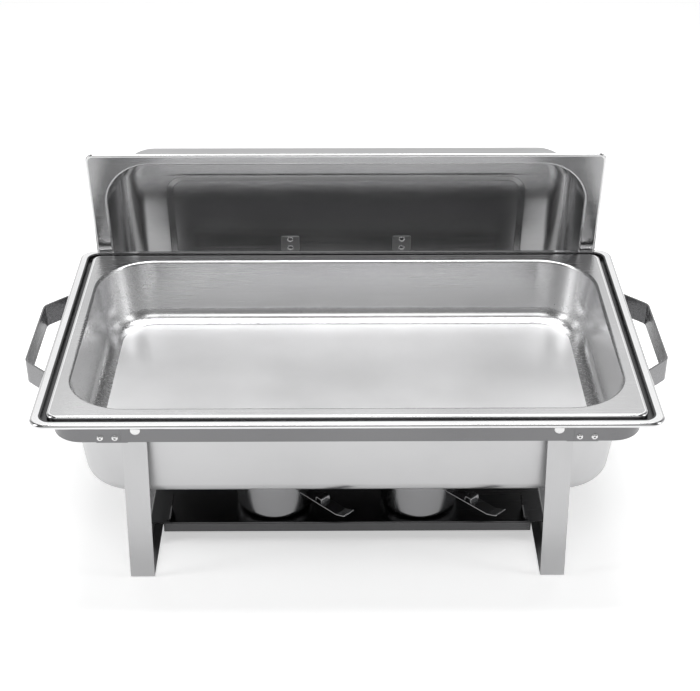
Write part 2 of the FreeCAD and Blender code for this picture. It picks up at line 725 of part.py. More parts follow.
def make_grip(label, side):
    """The carrying strip: a foot on the cap's skirt, a flat run, a finger tab, a raised tip."""
    body = new_body(label)
    gauge = "Sizes.grip_gauge"
    low = f"({COVER_TOP} - Sizes.cover_skirt)"
    root = f"({COVER_RADIUS})"
    end = f"({root} + Sizes.grip_length)"
    tip = f"({end} + Sizes.grip_tip)"
    sketch = new_sketch(body, "XZ_Plane", "-Sizes.grip_width / 2")
    outline(sketch, [(root, f"{low} + Sizes.grip_foot"), (root, low), (end, low),
                     (tip, f"{low} + Sizes.grip_tip_rise"),
                     (tip, f"{low} + Sizes.grip_tip_rise + {gauge}"), (end, f"{low} + {gauge}"),
                     (f"{root} + {gauge}", f"{low} + {gauge}"),
                     (f"{root} + {gauge}", f"{low} + Sizes.grip_foot")])
    extrude(body, sketch, "Sizes.grip_width")
    tab = f"({root} + Sizes.grip_tab_place)"
    half = "(Sizes.grip_width / 2 - Sizes.grip_tab_inset)"
    block(body, (tab, f"-{half}", low), (f"{tab} + {gauge}", half,
                                         f"{low} + Sizes.grip_tab_height"))
    burner_place(body, side, "Sizes.grip_turn")


def make_snuffer(label, side):
    """The disc that closes a burner's mouth, with its pivot arm and lever in one piece."""
    body = new_body(label)
    base = f"({COVER_TOP} + Sizes.rest_gap)"
    disc = new_sketch(body, "XY_Plane", base)
    circle(disc, "0", "0", "Sizes.snuffer_radius")
    extrude(body, disc, "Sizes.snuffer_gauge")
    half = "(Sizes.snuffer_lever_width / 2)"
    end = "(Sizes.snuffer_pivot + Sizes.snuffer_lever)"
    block(body, ("0", f"-{half}", base), (end, half, f"{base} + Sizes.snuffer_gauge"))
    round_edges(body, f"{half} - 0.5", runs_along("Z", [(end, half), (end, f"-{half}")]))
    drill(body, "XY_Plane", [("Sizes.snuffer_pivot", "0")],
          "Sizes.snuffer_shank + Sizes.pivot_clearance", "2 * Sizes.snuffer_gauge",
          lift=f"{base} + Sizes.snuffer_gauge")
    burner_place(body, side, "Sizes.snuffer_turn")


# ---------------------------------------------------------------- rivets

def rivet(name, shank, head, grip):
    """A rivet along Z: its head sits on the plane Z = 0 and its shank and tail go below."""
    half_head = "Sizes.rivet_head / 2"
    pieces = []
    for suffix, radius, height, base in (
            ("shank", shank, f"{grip} + {half_head}", f"-({grip})"),
            ("tail", f"{shank} + Sizes.rivet_tail_lip", half_head, f"-({grip}) - {half_head}")):
        cylinder = doc.addObject("Part::Cylinder", f"{name}_{suffix}")
        cylinder.setExpression("Radius", radius)
        cylinder.setExpression("Height", height)
        cylinder.setExpression("Placement.Base.z", base)
        pieces.append(cylinder)
    dome = doc.addObject("Part::Cone", f"{name}_dome")
    dome.setExpression("Radius1", head)
    dome.setExpression("Radius2", f"({head}) * Sizes.rivet_taper")
    dome.setExpression("Height", "Sizes.rivet_head")
    pieces.append(dome)
    fused = doc.addObject("Part::MultiFuse", name)
    fused.Shapes = pieces
    return fused


def rivet_group(label, shank, head, grip, places):
    """Identical rivets as one node; a place is (x, y, z) expressions and an outward direction."""
    rivets = []
    for index, (x, y, z, outward) in enumerate(places):
        one = rivet(f"{label}_{index}", shank, head, grip)
        turn = FreeCAD.Rotation(FreeCAD.Vector(0, 0, 1), FreeCAD.Vector(*outward))
        one.Placement = FreeCAD.Placement(FreeCAD.Vector(), turn)
        for axis, expression in zip("xyz", (x, y, z)):
            one.setExpression(f"Placement.Base.{axis}", expression)
        rivets.append(one)
    group = doc.addObject("Part::Compound", label)
    group.Label = label
    group.Links = rivets
    parts.append(group)
    return group


def make_stand_rivets():
    stack = "(3 * Sizes.strip_gauge + 2 * Sizes.rest_gap)"
    places = [(f"{side} * Sizes.pivot_reach", f"{face} * {RING_Y}", PIVOT_Z,
               (0, face, 0)) for side in (-1, 1) for face in (-1, 1)]
    rivet_group("pivot_rivets", "Sizes.pivot_shank", "Sizes.pivot_head", stack, places)
    places = [(x, f"{face} * {RING_Y}", z, (0, face, 0)) for side in (-1, 1)
              for face in (-1, 1) for x, z, radius in splice_holes(side)]
    rivet_group("splice_rivets", "Sizes.splice_rivet", "Sizes.splice_rivet + Sizes.splice_rivet_lip",
                "2 * Sizes.strip_gauge", places)
    face_x = f"({RING_X} + Sizes.handle_gauge)"
    places = [(f"{side} * {face_x}", y, z, (side, 0, 0)) for side in (-1, 1)
              for y, z in side_rivet_places()]
    rivet_group("handle_rivets", "Sizes.handle_rivet", "Sizes.handle_rivet + Sizes.handle_rivet_lip",
                "Sizes.handle_gauge + Sizes.strip_gauge", places)


def make_lid_rivets():
    inside = f"(Sizes.sheet_gauge + Sizes.plate_gauge - {DOME_Z})"
    places = [(x, y, inside, (0, 0, 1)) for x, y in lid_rivet_places()]
    grip = "Sizes.plate_gauge + Sizes.sheet_gauge + Sizes.lid_handle_gauge"
    lid_place(rivet_group("lid_handle_rivets", "Sizes.lid_rivet", "Sizes.lid_rivet + Sizes.lid_rivet_lip",
                          grip, places))


def make_snuffer_rivet(label, side):
    x = "Sizes.snuffer_pivot * cos(Sizes.snuffer_turn)"
    y = "Sizes.snuffer_pivot * sin(Sizes.snuffer_turn)"
    top = f"{COVER_TOP} + 2 * Sizes.rest_gap + Sizes.snuffer_gauge"
    group = rivet_group(label, "Sizes.snuffer_shank", "Sizes.snuffer_head",
                        "2 * Sizes.rest_gap + Sizes.snuffer_gauge + Sizes.cup_gauge",
                        [(x, y, top, (0, 0, 1))])
    burner_place(group, side)


# ---------------------------------------------------------------- the whole object

def make_all():
    make_food_pan()
    make_water_pan()
    make_lid_shell()
    make_lid_handle()
    make_lid_rivets()
    make_rail("front_rail", RING_Y)
    make_rail("rear_rail", f"-{RING_Y}")
    for side, name in ((-1, "left"), (1, "right")):
        make_lid_plate(f"{name}_lid_plate", side)
        make_end_band(f"{name}_end_band", side)
        make_splice(f"front_{name}_splice", side, RING_INNER_Y)
        make_splice(f"rear_{name}_splice", side, f"-{RING_INNER_Y}")
        make_leg(f"{name}_leg", side)
        make_side_handle(f"{name}_handle", side)
        make_cup(f"{name}_fuel_cup", side)
        make_cover(f"{name}_cup_cover", side)
        make_grip(f"{name}_cup_grip", side)
        make_snuffer(f"{name}_snuffer", side)
        make_snuffer_rivet(f"{name}_snuffer_rivet", side)
    make_stand_rivets()
    make_fuel_shelf()


def centre_on_origin():
    """Move every part alike, so that the object's box stands centred on the origin."""
    whole = FreeCAD.BoundBox()
    for part in parts:
        whole.add(part.Shape.BoundBox)
    shift = FreeCAD.Vector(-whole.Center.x, -whole.Center.y, -whole.ZMin)
    for part in parts:
        for axis, amount in zip("xyz", shift):
            bound = dict(part.ExpressionEngine).get(f".Placement.Base.{axis}")
            if bound:
                part.setExpression(f"Placement.Base.{axis}", f"{bound} + {amount:.6f}")
            else:
                base = part.Placement.Base
                setattr(base, axis, getattr(base, axis) + amount)
                part.Placement = FreeCAD.Placement(base, part.Placement.Rotation)
    doc.recompute()
    return shift


def check_document():
    """Stop if any object failed to compute or any part is not a sound solid."""
    for item in doc.Objects:
        if "Invalid" in item.State or "Error" in item.State:
            raise RuntimeError(f"{item.Label} failed: {item.State}")
    for part in parts:
        if part.Shape.isNull() or not part.Shape.isValid() or not part.Shape.Solids:
            raise RuntimeError(f"{part.Label} has no valid shape")


make_all()
doc.recompute()
shift = centre_on_origin()
check_document()
os.makedirs("parts", exist_ok=True)
for part in parts:
    part.Shape.exportStep(f"parts/{part.Label}.step")
print(f"{len(parts)} parts, moved by {shift}")
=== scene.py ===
"""Full-size chafing dish: its steel pieces and finishes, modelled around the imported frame."""
import json
import math

import bmesh
import bpy
from bpy.props import FloatProperty, FloatVectorProperty, IntProperty, PointerProperty
from mathutils import Matrix, Vector


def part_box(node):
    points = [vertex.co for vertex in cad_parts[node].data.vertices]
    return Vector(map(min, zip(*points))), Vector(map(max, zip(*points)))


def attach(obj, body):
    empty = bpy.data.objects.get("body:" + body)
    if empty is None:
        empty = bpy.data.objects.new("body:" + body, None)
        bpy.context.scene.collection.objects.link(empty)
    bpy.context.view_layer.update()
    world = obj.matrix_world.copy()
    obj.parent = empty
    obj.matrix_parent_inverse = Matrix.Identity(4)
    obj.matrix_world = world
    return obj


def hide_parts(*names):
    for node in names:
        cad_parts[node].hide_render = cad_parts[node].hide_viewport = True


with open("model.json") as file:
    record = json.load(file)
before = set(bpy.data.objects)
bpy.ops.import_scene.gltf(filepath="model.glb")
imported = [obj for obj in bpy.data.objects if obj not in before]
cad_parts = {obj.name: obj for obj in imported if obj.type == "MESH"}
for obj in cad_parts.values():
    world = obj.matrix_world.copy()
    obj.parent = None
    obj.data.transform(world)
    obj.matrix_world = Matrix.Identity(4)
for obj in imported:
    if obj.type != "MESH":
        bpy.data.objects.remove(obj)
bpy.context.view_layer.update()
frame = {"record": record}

bl_info = {
    "name": "Chafing Dish",
    "version": (1, 0, 0),
    "blender": (4, 5, 0),
    "location": "3D View > Sidebar > Chafing Dish",
    "description": "Models a chafing dish's pans, lid, stand and burners around their frame",
    "category": "Add Mesh",
}

MM = 0.001
STACK = 20 * MM      # spacing of a shell's rings while they are bridged
SIDES = (("left", -1), ("right", 1))
GRAIN_SCALE, STAIN_SCALE, WAVE_SCALE = 900.0, 9.0, 5.0
GRAIN_STRETCH = 0.012    # how far the grain is drawn out along its run
# radius and height of each rivet's head, then of its tail
RIVETS = {
    "lid": (3.4 * MM, 1.2 * MM, 3.1 * MM, 1.0 * MM),
    "joint": (3.0 * MM, 1.3 * MM, 2.8 * MM, 0.8 * MM),
    "handle": (3.8 * MM, 1.5 * MM, 3.0 * MM, 0.8 * MM),
}
PIVOT_HEIGHT, PIVOT_TAIL, PIVOT_TAIL_HEIGHT = 1.6 * MM, 3.4 * MM, 0.8 * MM
SNUFFER_RIVET, SNUFFER_RIVET_HEIGHT = 3 * MM, 1.6 * MM
JOINTS = {joint["name"]: joint for joint in frame["record"]["behaviour"]["joints"]}

# name, place, width, height and power of each soft panel
STUDIO_LIGHTS = (
    ("top_panel", (0.0, 0.9, 1.9), 1.7, 0.8, 7),
    ("pan_panel", (0.0, 0.05, 1.1), 0.9, 0.24, 7),
    ("front_panel", (0.0, -1.4, 2.0), 1.4, 0.6, 7),
    ("left_panel", (-1.5, -0.5, 1.0), 0.3, 1.2, 5),
    ("right_panel", (1.5, -0.5, 1.0), 0.3, 1.2, 4),
)

CAMERA = {
    "focal": 2.072,
    "rise": 0.0493,
    "pitch": math.radians(32.64),
    "yaw": math.radians(0.333),
    "offset": (-0.00387, -1.20107, 0.70991),
}


# ------------------------------------------------------------------ sizes and colours

def length(name, default, description):
    return FloatProperty(name=name, default=default, description=description, unit="LENGTH",
                         subtype="DISTANCE")


class DishSizes(bpy.types.PropertyGroup):
    gauge: length("Sheet", 0.8 * MM, "Thickness of the pressed sheet")
    strip: length("Strip", 1.2 * MM, "Thickness of the stand's strip")
    rest_gap: length("Resting gap", 0.3 * MM, "Gap between pieces that move on each other")
    ring_corner: length("Ring corner", 28 * MM, "Corner radius of the stand's ring")
    leg_width: length("Leg width", 22.5 * MM, "Width of the folding legs' strip")
    pivot_head: length("Pivot head", 4.75 * MM, "Radius of a leg pivot's rivet head")
    splice_pitch: length("Joint rivets", 13 * MM, "Spacing of the small rivets at a joint")
    handle_gauge: length("Handle strip", 1.8 * MM, "Thickness of the handles' strip")
    handle_bend: length("Handle bend", 9 * MM, "Inner radius of the handles' bends")
    handle_bar: length("Handle bar", 103 * MM, "Length of a side handle's bar")
    handle_spread: length("Handle spread", 36 * MM, "Run of a side handle's sloping arm")
    shelf_top: length("Shelf height", 30 * MM, "Height of the fuel shelf's top")
    shelf_lip: length("Shelf lip", 10.5 * MM, "Depth of the shelf's long lips")
    lip_half: length("Lip reach", 176 * MM, "Half the length of the shelf's long lips")
    lip_side: length("Lip side", 3.5 * MM, "How far a lip's bend takes up the shelf's side")
    stop_reach: length("Stop reach", 171 * MM, "Half the distance between the shelf's stops")
    stop_width: length("Stop width", 20 * MM, "Width of a lanced stop")
    stop_side: length("Stop side", 14 * MM, "Distance of a stop's middle from the shelf's edge")
    stop_lean: FloatProperty(name="Stop lean", default=math.radians(10), subtype="ANGLE",
                             description="Inward lean of a lanced stop")
    stop_height: length("Stop height", 18 * MM, "Height of the shelf's lanced stops")
    cover_mouth: length("Cover mouth", 24 * MM, "Radius of the mouth in a burner's cover")
    grip_gauge: length("Grip strip", 1.0 * MM, "Thickness of a burner's grip")
    grip_width: length("Grip width", 13 * MM, "Width of a burner's grip")
    grip_length: length("Grip length", 52 * MM, "Flat run of a burner's grip")
    grip_tip: length("Grip tip", 12 * MM, "Length of the grip's raised tip")
    loop_place: length("Loop place", 24 * MM, "Distance from the cover to the grip's loop")
    loop_height: length("Loop height", 5.5 * MM, "Height of the grip's loop")
    snuffer_radius: length("Snuffer", 26 * MM, "Radius of a snuffer's disc")
    lid_hem: length("Lid hem", 3.5 * MM, "Depth of the lid's rolled hem")
    lid_handle_width: length("Lid handle width", 20 * MM, "Width of the lid handle's strip")
    lid_handle_reach: length("Lid handle reach", 30 * MM, "Rise of the lid's handle")
    lid_handle_bar: length("Lid handle bar", 62 * MM, "Length of the lid handle's bar")
    lid_handle_spread: length("Lid handle spread", 20 * MM, "Run of its sloping arm")
    lid_rivet_pitch: length("Lid rivets", 11 * MM, "Spacing of the lid handle's rivets")
    plate_gauge: length("Lid plates", 1.0 * MM, "Thickness of the plates inside the lid")
    lip_round: length("Lip round", 3.2 * MM, "Radius where a rim turns down into a well")
    bead: length("Bead", 2.5 * MM, "Radius of a rolled hem")
    food_rim: length("Food pan rim", 13 * MM, "Width of the food pan's flat rim at its ends")
    long_side_extra: length("Long side extra", 2 * MM, "How much wider the long rims are")
    rim_corner: length("Rim corner", 10 * MM, "Outer corner radius of the food pan's rim")
    food_corner: length("Well corner", 55 * MM, "Corner radius of the food pan's opening")
    food_round: length("Food pan base", 18 * MM, "Radius round the food pan's base")
    groove: length("Groove", 4 * MM, "Gap between the food pan and the raised band")
    pan_gap: length("Pan gap", 1.2 * MM, "Gap between the two pans' walls at the top")
    water_round: length("Water pan base", 15 * MM, "Radius round the water pan's base")
    lid_side: length("Lid side rim", 17.5 * MM, "Width of the lid's flat rim at its ends")
    lid_edge: length("Lid long rim", 12 * MM, "Width of the lid's flat rim along its length")
    lid_corner: length("Lid corner", 47 * MM, "Corner radius of the lid's opening")
    lid_round: length("Lid crown", 24 * MM, "Radius round the lid's crown")
    lid_depth: length("Lid depth", 61.5 * MM, "Rise of the lid without its pressed panel")
    panel_length: length("Panel length", 385 * MM, "Length of the lid's pressed panel")
    panel_width: length("Panel width", 174 * MM, "Width of the lid's pressed panel")
    panel_slope: length("Panel slope", 6.5 * MM, "Width of the slope round the panel")
    panel_rise: length("Panel rise", 2.5 * MM, "Rise of the pressed panel")
    food_draft: FloatProperty(name="Food pan draft", default=math.radians(8), subtype="ANGLE",
                              description="Lean of the food pan's walls")
    water_draft: FloatProperty(name="Water pan draft", default=math.radians(6),
                               subtype="ANGLE", description="Lean of the water pan's walls")
    lid_draft: FloatProperty(name="Lid draft", default=math.radians(10), subtype="ANGLE",
                             description="Lean of the lid's walls")
    corner_steps: IntProperty(name="Corner steps", default=16, min=4,
                              description="Edges in each rounded corner")
    turn_steps: IntProperty(name="Turning steps", default=72, min=12,
                            description="Edges round each turned piece")


def steel_colour(name, value):
    return FloatVectorProperty(name=name, subtype="COLOR", size=3, min=0, max=1, default=value,
                               description="Base colour of this steel")


class SteelColours(bpy.types.PropertyGroup):
    rim: steel_colour("Satin rims", (0.96, 0.96, 0.965))
    well: steel_colour("Pan inside", (0.62, 0.62, 0.625))
    # Painted sheen: the food pan's floor is given a brighter colour than its walls, and a partly
    # non-metallic finish, standing in for the light it reflects.
    floor: steel_colour("Food pan floor", (0.86, 0.86, 0.865))
    bead: steel_colour("Rolled hems", (0.72, 0.72, 0.725))
    # Painted sheen: with the lid rim's finish almost non-metallic, this near-white colour stands
    # in for the bright reflection on the lid's flat rim.
    lid_rim: steel_colour("Lid rim", (0.98, 0.98, 0.985))
    # Painted shade: this near-black colour stands in for the shade in the groove round the food
    # pan.
    groove: steel_colour("Groove round the food pan", (0.10, 0.10, 0.102))
    bath: steel_colour("Pressings' outside", (0.50, 0.50, 0.505))
    crown: steel_colour("Lid inside", (0.50, 0.50, 0.505))
    # Painted shade: the ring's rails, joint plates and end bands are given a colour far darker
    # than their steel, standing in for the shade on them.
    ring: steel_colour("Ring strip", (0.18, 0.18, 0.184))
    leg: steel_colour("Leg strip", (0.47, 0.47, 0.475))
    # Painted shade: the handles' strip is given a colour far darker than its steel, standing in
    # for the shade on it.
    grip: steel_colour("Handle strip", (0.24, 0.24, 0.245))
    # Painted shade: the fuel shelf under the pans is given a near-black colour, far darker than
    # its steel, for the shade it stands in.
    shelf: steel_colour("Fuel shelf", (0.09, 0.09, 0.092))
    burner: steel_colour("Fuel burners", (0.25, 0.25, 0.255))
    rivet: steel_colour("Rivets", (0.66, 0.66, 0.66))


def sizes():
    return bpy.context.scene.dish_sizes


def colours():
    return bpy.context.scene.dish_colours


# ------------------------------------------------------------------ steel finishes

def steel(name, colour, roughness, spread=0.05, grain="X", grain_bump=0.02, wave=0.04,
          blemish=0.10, metal=1.0):
    """Rolled stainless steel: fine grain along one axis, slow waviness and faint stains."""
    found = bpy.data.materials.get(name)
    if found:
        return found
    material = bpy.data.materials.new(name)
    material.use_nodes = True
    nodes, links = material.node_tree.nodes, material.node_tree.links
    shader = nodes["Principled BSDF"]
    shader.inputs["Metallic"].default_value = metal
    place = nodes.new("ShaderNodeTexCoord")

    def noise(scale, detail, stretch=(1, 1, 1)):
        turn = nodes.new("ShaderNodeMapping")
        turn.inputs["Scale"].default_value = stretch
        links.new(place.outputs["Object"], turn.inputs["Vector"])
        texture = nodes.new("ShaderNodeTexNoise")
        texture.inputs["Scale"].default_value = scale
        texture.inputs["Detail"].default_value = detail
        links.new(turn.outputs["Vector"], texture.inputs["Vector"])
        return texture.outputs["Fac"]

    def spread_to(value, low, high):
        span = nodes.new("ShaderNodeMapRange")
        span.inputs["From Min"].default_value = 0.3
        span.inputs["From Max"].default_value = 0.7
        span.inputs["To Min"].default_value = low
        span.inputs["To Max"].default_value = high
        links.new(value, span.inputs["Value"])
        return span.outputs["Result"]

    stretch = [GRAIN_STRETCH if axis == grain else 1.0 for axis in "XYZ"]
    grain_value = noise(GRAIN_SCALE, 3.0, stretch)
    stain_value = noise(STAIN_SCALE, 4.0)
    wave_value = noise(WAVE_SCALE, 1.0)
    mixed = nodes.new("ShaderNodeMath")
    mixed.operation = "ADD"
    half = nodes.new("ShaderNodeMath")
    half.operation = "MULTIPLY"
    half.inputs[1].default_value = 0.5
    links.new(grain_value, mixed.inputs[0])
    links.new(stain_value, mixed.inputs[1])
    links.new(mixed.outputs[0], half.inputs[0])
    rough = spread_to(half.outputs[0], roughness - spread, roughness + spread)
    links.new(rough, shader.inputs["Roughness"])

    tint = nodes.new("ShaderNodeMix")
    tint.data_type = "RGBA"
    tint.inputs["A"].default_value = (*[part * (1 - blemish) for part in colour], 1)
    tint.inputs["B"].default_value = (*colour, 1)
    links.new(spread_to(stain_value, 0.0, 1.0), tint.inputs["Factor"])
    links.new(tint.outputs["Result"], shader.inputs["Base Color"])

    slow = nodes.new("ShaderNodeBump")
    slow.inputs["Strength"].default_value = wave
    slow.inputs["Distance"].default_value = 0.01
    links.new(wave_value, slow.inputs["Height"])
    quick = nodes.new("ShaderNodeBump")
    quick.inputs["Strength"].default_value = grain_bump
    quick.inputs["Distance"].default_value = 0.001
    links.new(grain_value, quick.inputs["Height"])
    links.new(slow.outputs["Normal"], quick.inputs["Normal"])
    links.new(quick.outputs["Normal"], shader.inputs["Normal"])
    return material


def finished_steel(name):
    """One of the finishes below, made the first time that it is asked for."""
    colour, roughness, settings = FINISHES[name]
    return steel(name, getattr(colours(), colour), roughness, **settings)


# name: colour, roughness and what differs from plain rolled steel
FINISHES = {
    "rim_satin": ("rim", 0.20, {"grain_bump": 0.05}),
    # Painted sheen: a near-white, almost non-metallic finish that stands in for the lid rim's
    # bright reflection.
    "lid_rim_satin_painted_sheen": ("lid_rim", 0.60, {"grain_bump": 0.05, "metal": 0.1}),
    "bead_polish": ("bead", 0.10, {"spread": 0.03, "grain_bump": 0.01, "wave": 0.01}),
    # Painted shade: a near-black steel for the shade in the groove round the food pan.
    "groove_painted_shade": ("groove", 0.22, {}),
    "well_polish": ("well", 0.26, {"spread": 0.04, "wave": 0.05}),
    # Painted sheen: the floor's brighter, partly non-metallic finish stands in for the light it
    # reflects.
    "floor_satin_painted_sheen": ("floor", 0.42, {"grain_bump": 0.04, "metal": 0.75}),
    "bath_satin": ("bath", 0.34, {"wave": 0.03}),
    "crown_polish": ("crown", 0.22, {"spread": 0.04, "wave": 0.06}),
    "plate_satin": ("crown", 0.30, {"grain": "Z"}),
    # Painted shade: the ring's dark colour stands in for shade, not for a darker steel.
    "ring_satin_painted_shade": ("ring", 0.30, {}),
    "leg_satin": ("leg", 0.36, {"grain": "Z", "grain_bump": 0.06}),
    # Painted shade: the handles' dark colour stands in for shade, not for a darker steel.
    "grip_satin_painted_shade": ("grip", 0.28, {"grain": "Y"}),
    # Painted shade: the shelf's near-black colour stands in for the shade under the pans.
    "shelf_painted_shade": ("shelf", 0.24, {}),
    "burner_satin": ("burner", 0.24, {"grain": "Z"}),
    "rivet_bright": ("rivet", 0.20, {"grain": "Z", "wave": 0.01}),
}


# ------------------------------------------------------------------ outlines

def rounded_path(points, radii, steps=8):
    """The points of an open path in a plane, with an arc of each radius at its inner corners."""
    path = [Vector(points[0])]
    for index in range(1, len(points) - 1):
        before, corner, after = (Vector(points[index + k]) for k in (-1, 0, 1))
        back, ahead = (before - corner).normalized(), (after - corner).normalized()
        half = math.acos(max(-1.0, min(1.0, back.dot(ahead)))) / 2
        radius = radii[index - 1]
        if radius <= 0 or half > math.radians(89.5):
            path.append(corner)
            continue
        middle = (back + ahead).normalized()
        centre = corner + middle * (radius / math.sin(half))
        start = corner + back * (radius / math.tan(half)) - centre
        sweep = math.pi - 2 * half
        side = 1 if back.x * ahead.y - back.y * ahead.x < 0 else -1
        for step in range(steps + 1):
            angle = side * sweep * step / steps
            turned = Vector((start.x * math.cos(angle) - start.y * math.sin(angle),
                             start.x * math.sin(angle) + start.y * math.cos(angle)))
            path.append(centre + turned)
    path.append(Vector(points[-1]))
    return path


def arc_points(centre, radius, start, end, steps):
    """Points of an arc in a plane, with its angles in degrees."""
    spots = []
    for step in range(steps + 1):
        angle = math.radians(start + (end - start) * step / steps)
        spots.append(Vector(centre) + radius * Vector((math.cos(angle), math.sin(angle))))
    return spots


# ------------------------------------------------------------------ mesh work

def start_mesh(name, location=(0, 0, 0)):
    """A new object in edit mode that holds one vertex, selected."""
    if bpy.context.mode != "OBJECT":
        bpy.ops.object.mode_set(mode="OBJECT")
    bpy.ops.object.select_all(action="DESELECT")
    bpy.ops.mesh.primitive_plane_add(size=0.01, location=(0, 0, 0))
    piece = bpy.context.object
    piece.name = piece.data.name = name
    bpy.ops.object.mode_set(mode="EDIT")
    bpy.ops.mesh.merge(type="CENTER")
    bpy.ops.transform.translate(value=location)
    return piece


def trace(points):
    """Extrude the selected vertex from point to point."""
    for here, there in zip(points, points[1:]):
        bpy.ops.mesh.extrude_vertices_move(TRANSFORM_OT_translate={"value": there - here})


def finish_mesh(piece, merge=1e-6):
    """Close up, turn the faces outwards, and go back to object mode."""
    bpy.ops.mesh.select_all(action="SELECT")
    bpy.ops.mesh.remove_doubles(threshold=merge)
    bpy.ops.mesh.normals_make_consistent(inside=False)
    bpy.ops.object.mode_set(mode="OBJECT")
    return piece


def apply_modifier(piece, kind, **settings):
    modifier = piece.modifiers.new(kind.title(), kind)
    for key, value in settings.items():
        setattr(modifier, key, value)
    bpy.context.view_layer.objects.active = piece
    bpy.ops.object.modifier_apply(modifier=modifier.name)


def smooth(piece, angle=40):
    bpy.ops.object.select_all(action="DESELECT")
    piece.select_set(True)
    bpy.context.view_layer.objects.active = piece
    bpy.ops.object.shade_smooth_by_angle(angle=math.radians(angle))
    apply_modifier(piece, "WEIGHTED_NORMAL", keep_sharp=True, weight=80)


def bevel_edges(piece, width, segments=2, angle=50):
    apply_modifier(piece, "BEVEL", width=width, segments=segments, limit_method="ANGLE",
                   angle_limit=math.radians(angle), harden_normals=False)


def turned(name, profile, centre, steps=None):
    """A turned piece: a profile of (radius, height) pairs spun about an upright axis."""
    spots = [Vector((radius, 0, height)) + Vector(centre) for radius, height in profile]
    piece = start_mesh(name, spots[0])
    trace(spots)
    bpy.ops.mesh.select_all(action="SELECT")
    bpy.ops.mesh.spin(steps=steps or sizes().turn_steps, angle=math.tau, center=centre,
                      axis=(0, 0, 1))
    return finish_mesh(piece, merge=3e-5)


def start_plane(name, half_x, half_y, location):
    """A flat rectangle in edit mode, selected."""
    if bpy.context.mode != "OBJECT":
        bpy.ops.object.mode_set(mode="OBJECT")
    bpy.ops.object.select_all(action="DESELECT")
    bpy.ops.mesh.primitive_plane_add(size=2, location=(0, 0, 0))
    piece = bpy.context.object
    piece.name = piece.data.name = name
    bpy.ops.object.mode_set(mode="EDIT")
    bpy.ops.transform.resize(value=(half_x, half_y, 1))
    bpy.ops.transform.translate(value=location)
    return piece


def choose_edges(piece, wanted):
    """Select the edges whose two ends are both wanted."""
    bpy.ops.mesh.select_all(action="DESELECT")
    mesh = bmesh.from_edit_mesh(piece.data)
    for edge in mesh.edges:
        if all(wanted(vertex.co) for vertex in edge.verts):
            edge.select_set(True)
    mesh.select_flush_mode()


def round_ends(piece, radius, wanted):
    """Round the corners of a sheet whose vertices are wanted."""
    bpy.ops.object.select_all(action="DESELECT")
    bpy.context.view_layer.objects.active = piece
    bpy.ops.object.mode_set(mode="EDIT")
    bpy.ops.mesh.select_all(action="DESELECT")
    mesh = bmesh.from_edit_mesh(piece.data)
    for vertex in mesh.verts:
        vertex.select_set(wanted(vertex.co))
    bpy.ops.mesh.bevel(offset=radius, segments=6, affect="VERTICES")
    bpy.ops.object.mode_set(mode="OBJECT")


def rivet_head(name, radius, height, place, outward, hollow=False):
    """A low domed rivet head on a surface, solid or with the hole of a hollow rivet."""
    dome = [Vector((radius, -0.2 * MM)), Vector((radius, 0.25 * height)),
            Vector((0.86 * radius, 0.66 * height)), Vector((0.6 * radius, 0.9 * height))]
    if hollow:
        dome += [Vector((0.44 * radius, height)), Vector((0.34 * radius, 0.9 * height)),
                 Vector((0.3 * radius, 0.1 * height)), Vector((0.01 * MM, 0.1 * height))]
    else:
        dome += [Vector((0.3 * radius, 0.98 * height)), Vector((0.01 * MM, height))]
    profile = dome + [Vector((0.01 * MM, -0.2 * MM)), dome[0]]
    head = turned(name, profile, (0, 0, 0), steps=24)
    smooth(head, 50)
    head.rotation_euler = Vector(outward).to_track_quat("Z", "Y").to_euler()
    head.location = place
    apply_place(head)
    return head


def rounded_plate(name, length_x, length_y, gauge, corner):
    """A thin plate on the floor with rounded corners and softened edges."""
    plate = start_plane(name, length_x / 2, length_y / 2, (0, 0, 0))
    bpy.ops.mesh.bevel(offset=corner, segments=5, affect="VERTICES")
    bpy.ops.object.mode_set(mode="OBJECT")
    apply_modifier(plate, "SOLIDIFY", thickness=gauge, offset=1.0)
    bevel_edges(plate, 0.3 * MM, segments=3)
    smooth(plate)
    return plate


def ribbon(name, points, width):
    """A strip's middle surface: a path swept along its width."""
    piece = start_mesh(name, points[0])
    trace(points)
    bpy.ops.mesh.select_all(action="SELECT")
    bpy.ops.mesh.extrude_edges_move(TRANSFORM_OT_translate={"value": width})
    return finish_mesh(piece)


def thicken(piece, gauge, round_over=0.22 * MM, offset=0.0):
    """Give a middle surface its thickness and soften the edges."""
    apply_modifier(piece, "SOLIDIFY", thickness=gauge, offset=offset, use_even_offset=True)
    bevel_edges(piece, round_over)
    smooth(piece)
    return piece


def paint(piece, *finishes):
    """Give a piece its finishes, keeping which face has which."""
    chosen = [face.material_index for face in piece.data.polygons]
    piece.data.materials.clear()
    for name in finishes:
        piece.data.materials.append(finished_steel(name))
    if len(finishes) > 1:
        piece.data.polygons.foreach_set("material_index", chosen)


def settle(piece, body, slot, *nodes):
    """Ride on a body and stand for its CAD nodes, which are hidden; the slot argument is not
    used.
    """
    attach(piece, body)
    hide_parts(*nodes)


def join(pieces, name):
    bpy.ops.object.select_all(action="DESELECT")
    for piece in pieces:
        piece.select_set(True)
    bpy.context.view_layer.objects.active = pieces[0]
    bpy.ops.object.join()
    pieces[0].name = pieces[0].data.name = name
    return pieces[0]


# ------------------------------------------------------------------ drawn shells

class Station:
    """A rounded rectangle that rings are offset from, outwards or inwards."""

    def __init__(self, half_x, half_y, corner):
        self.half_x, self.half_y, self.corner = half_x, half_y, corner

    def ring(self, out):
        return self.half_x + out, self.half_y + out, max(self.corner + out, 0.4 * MM)


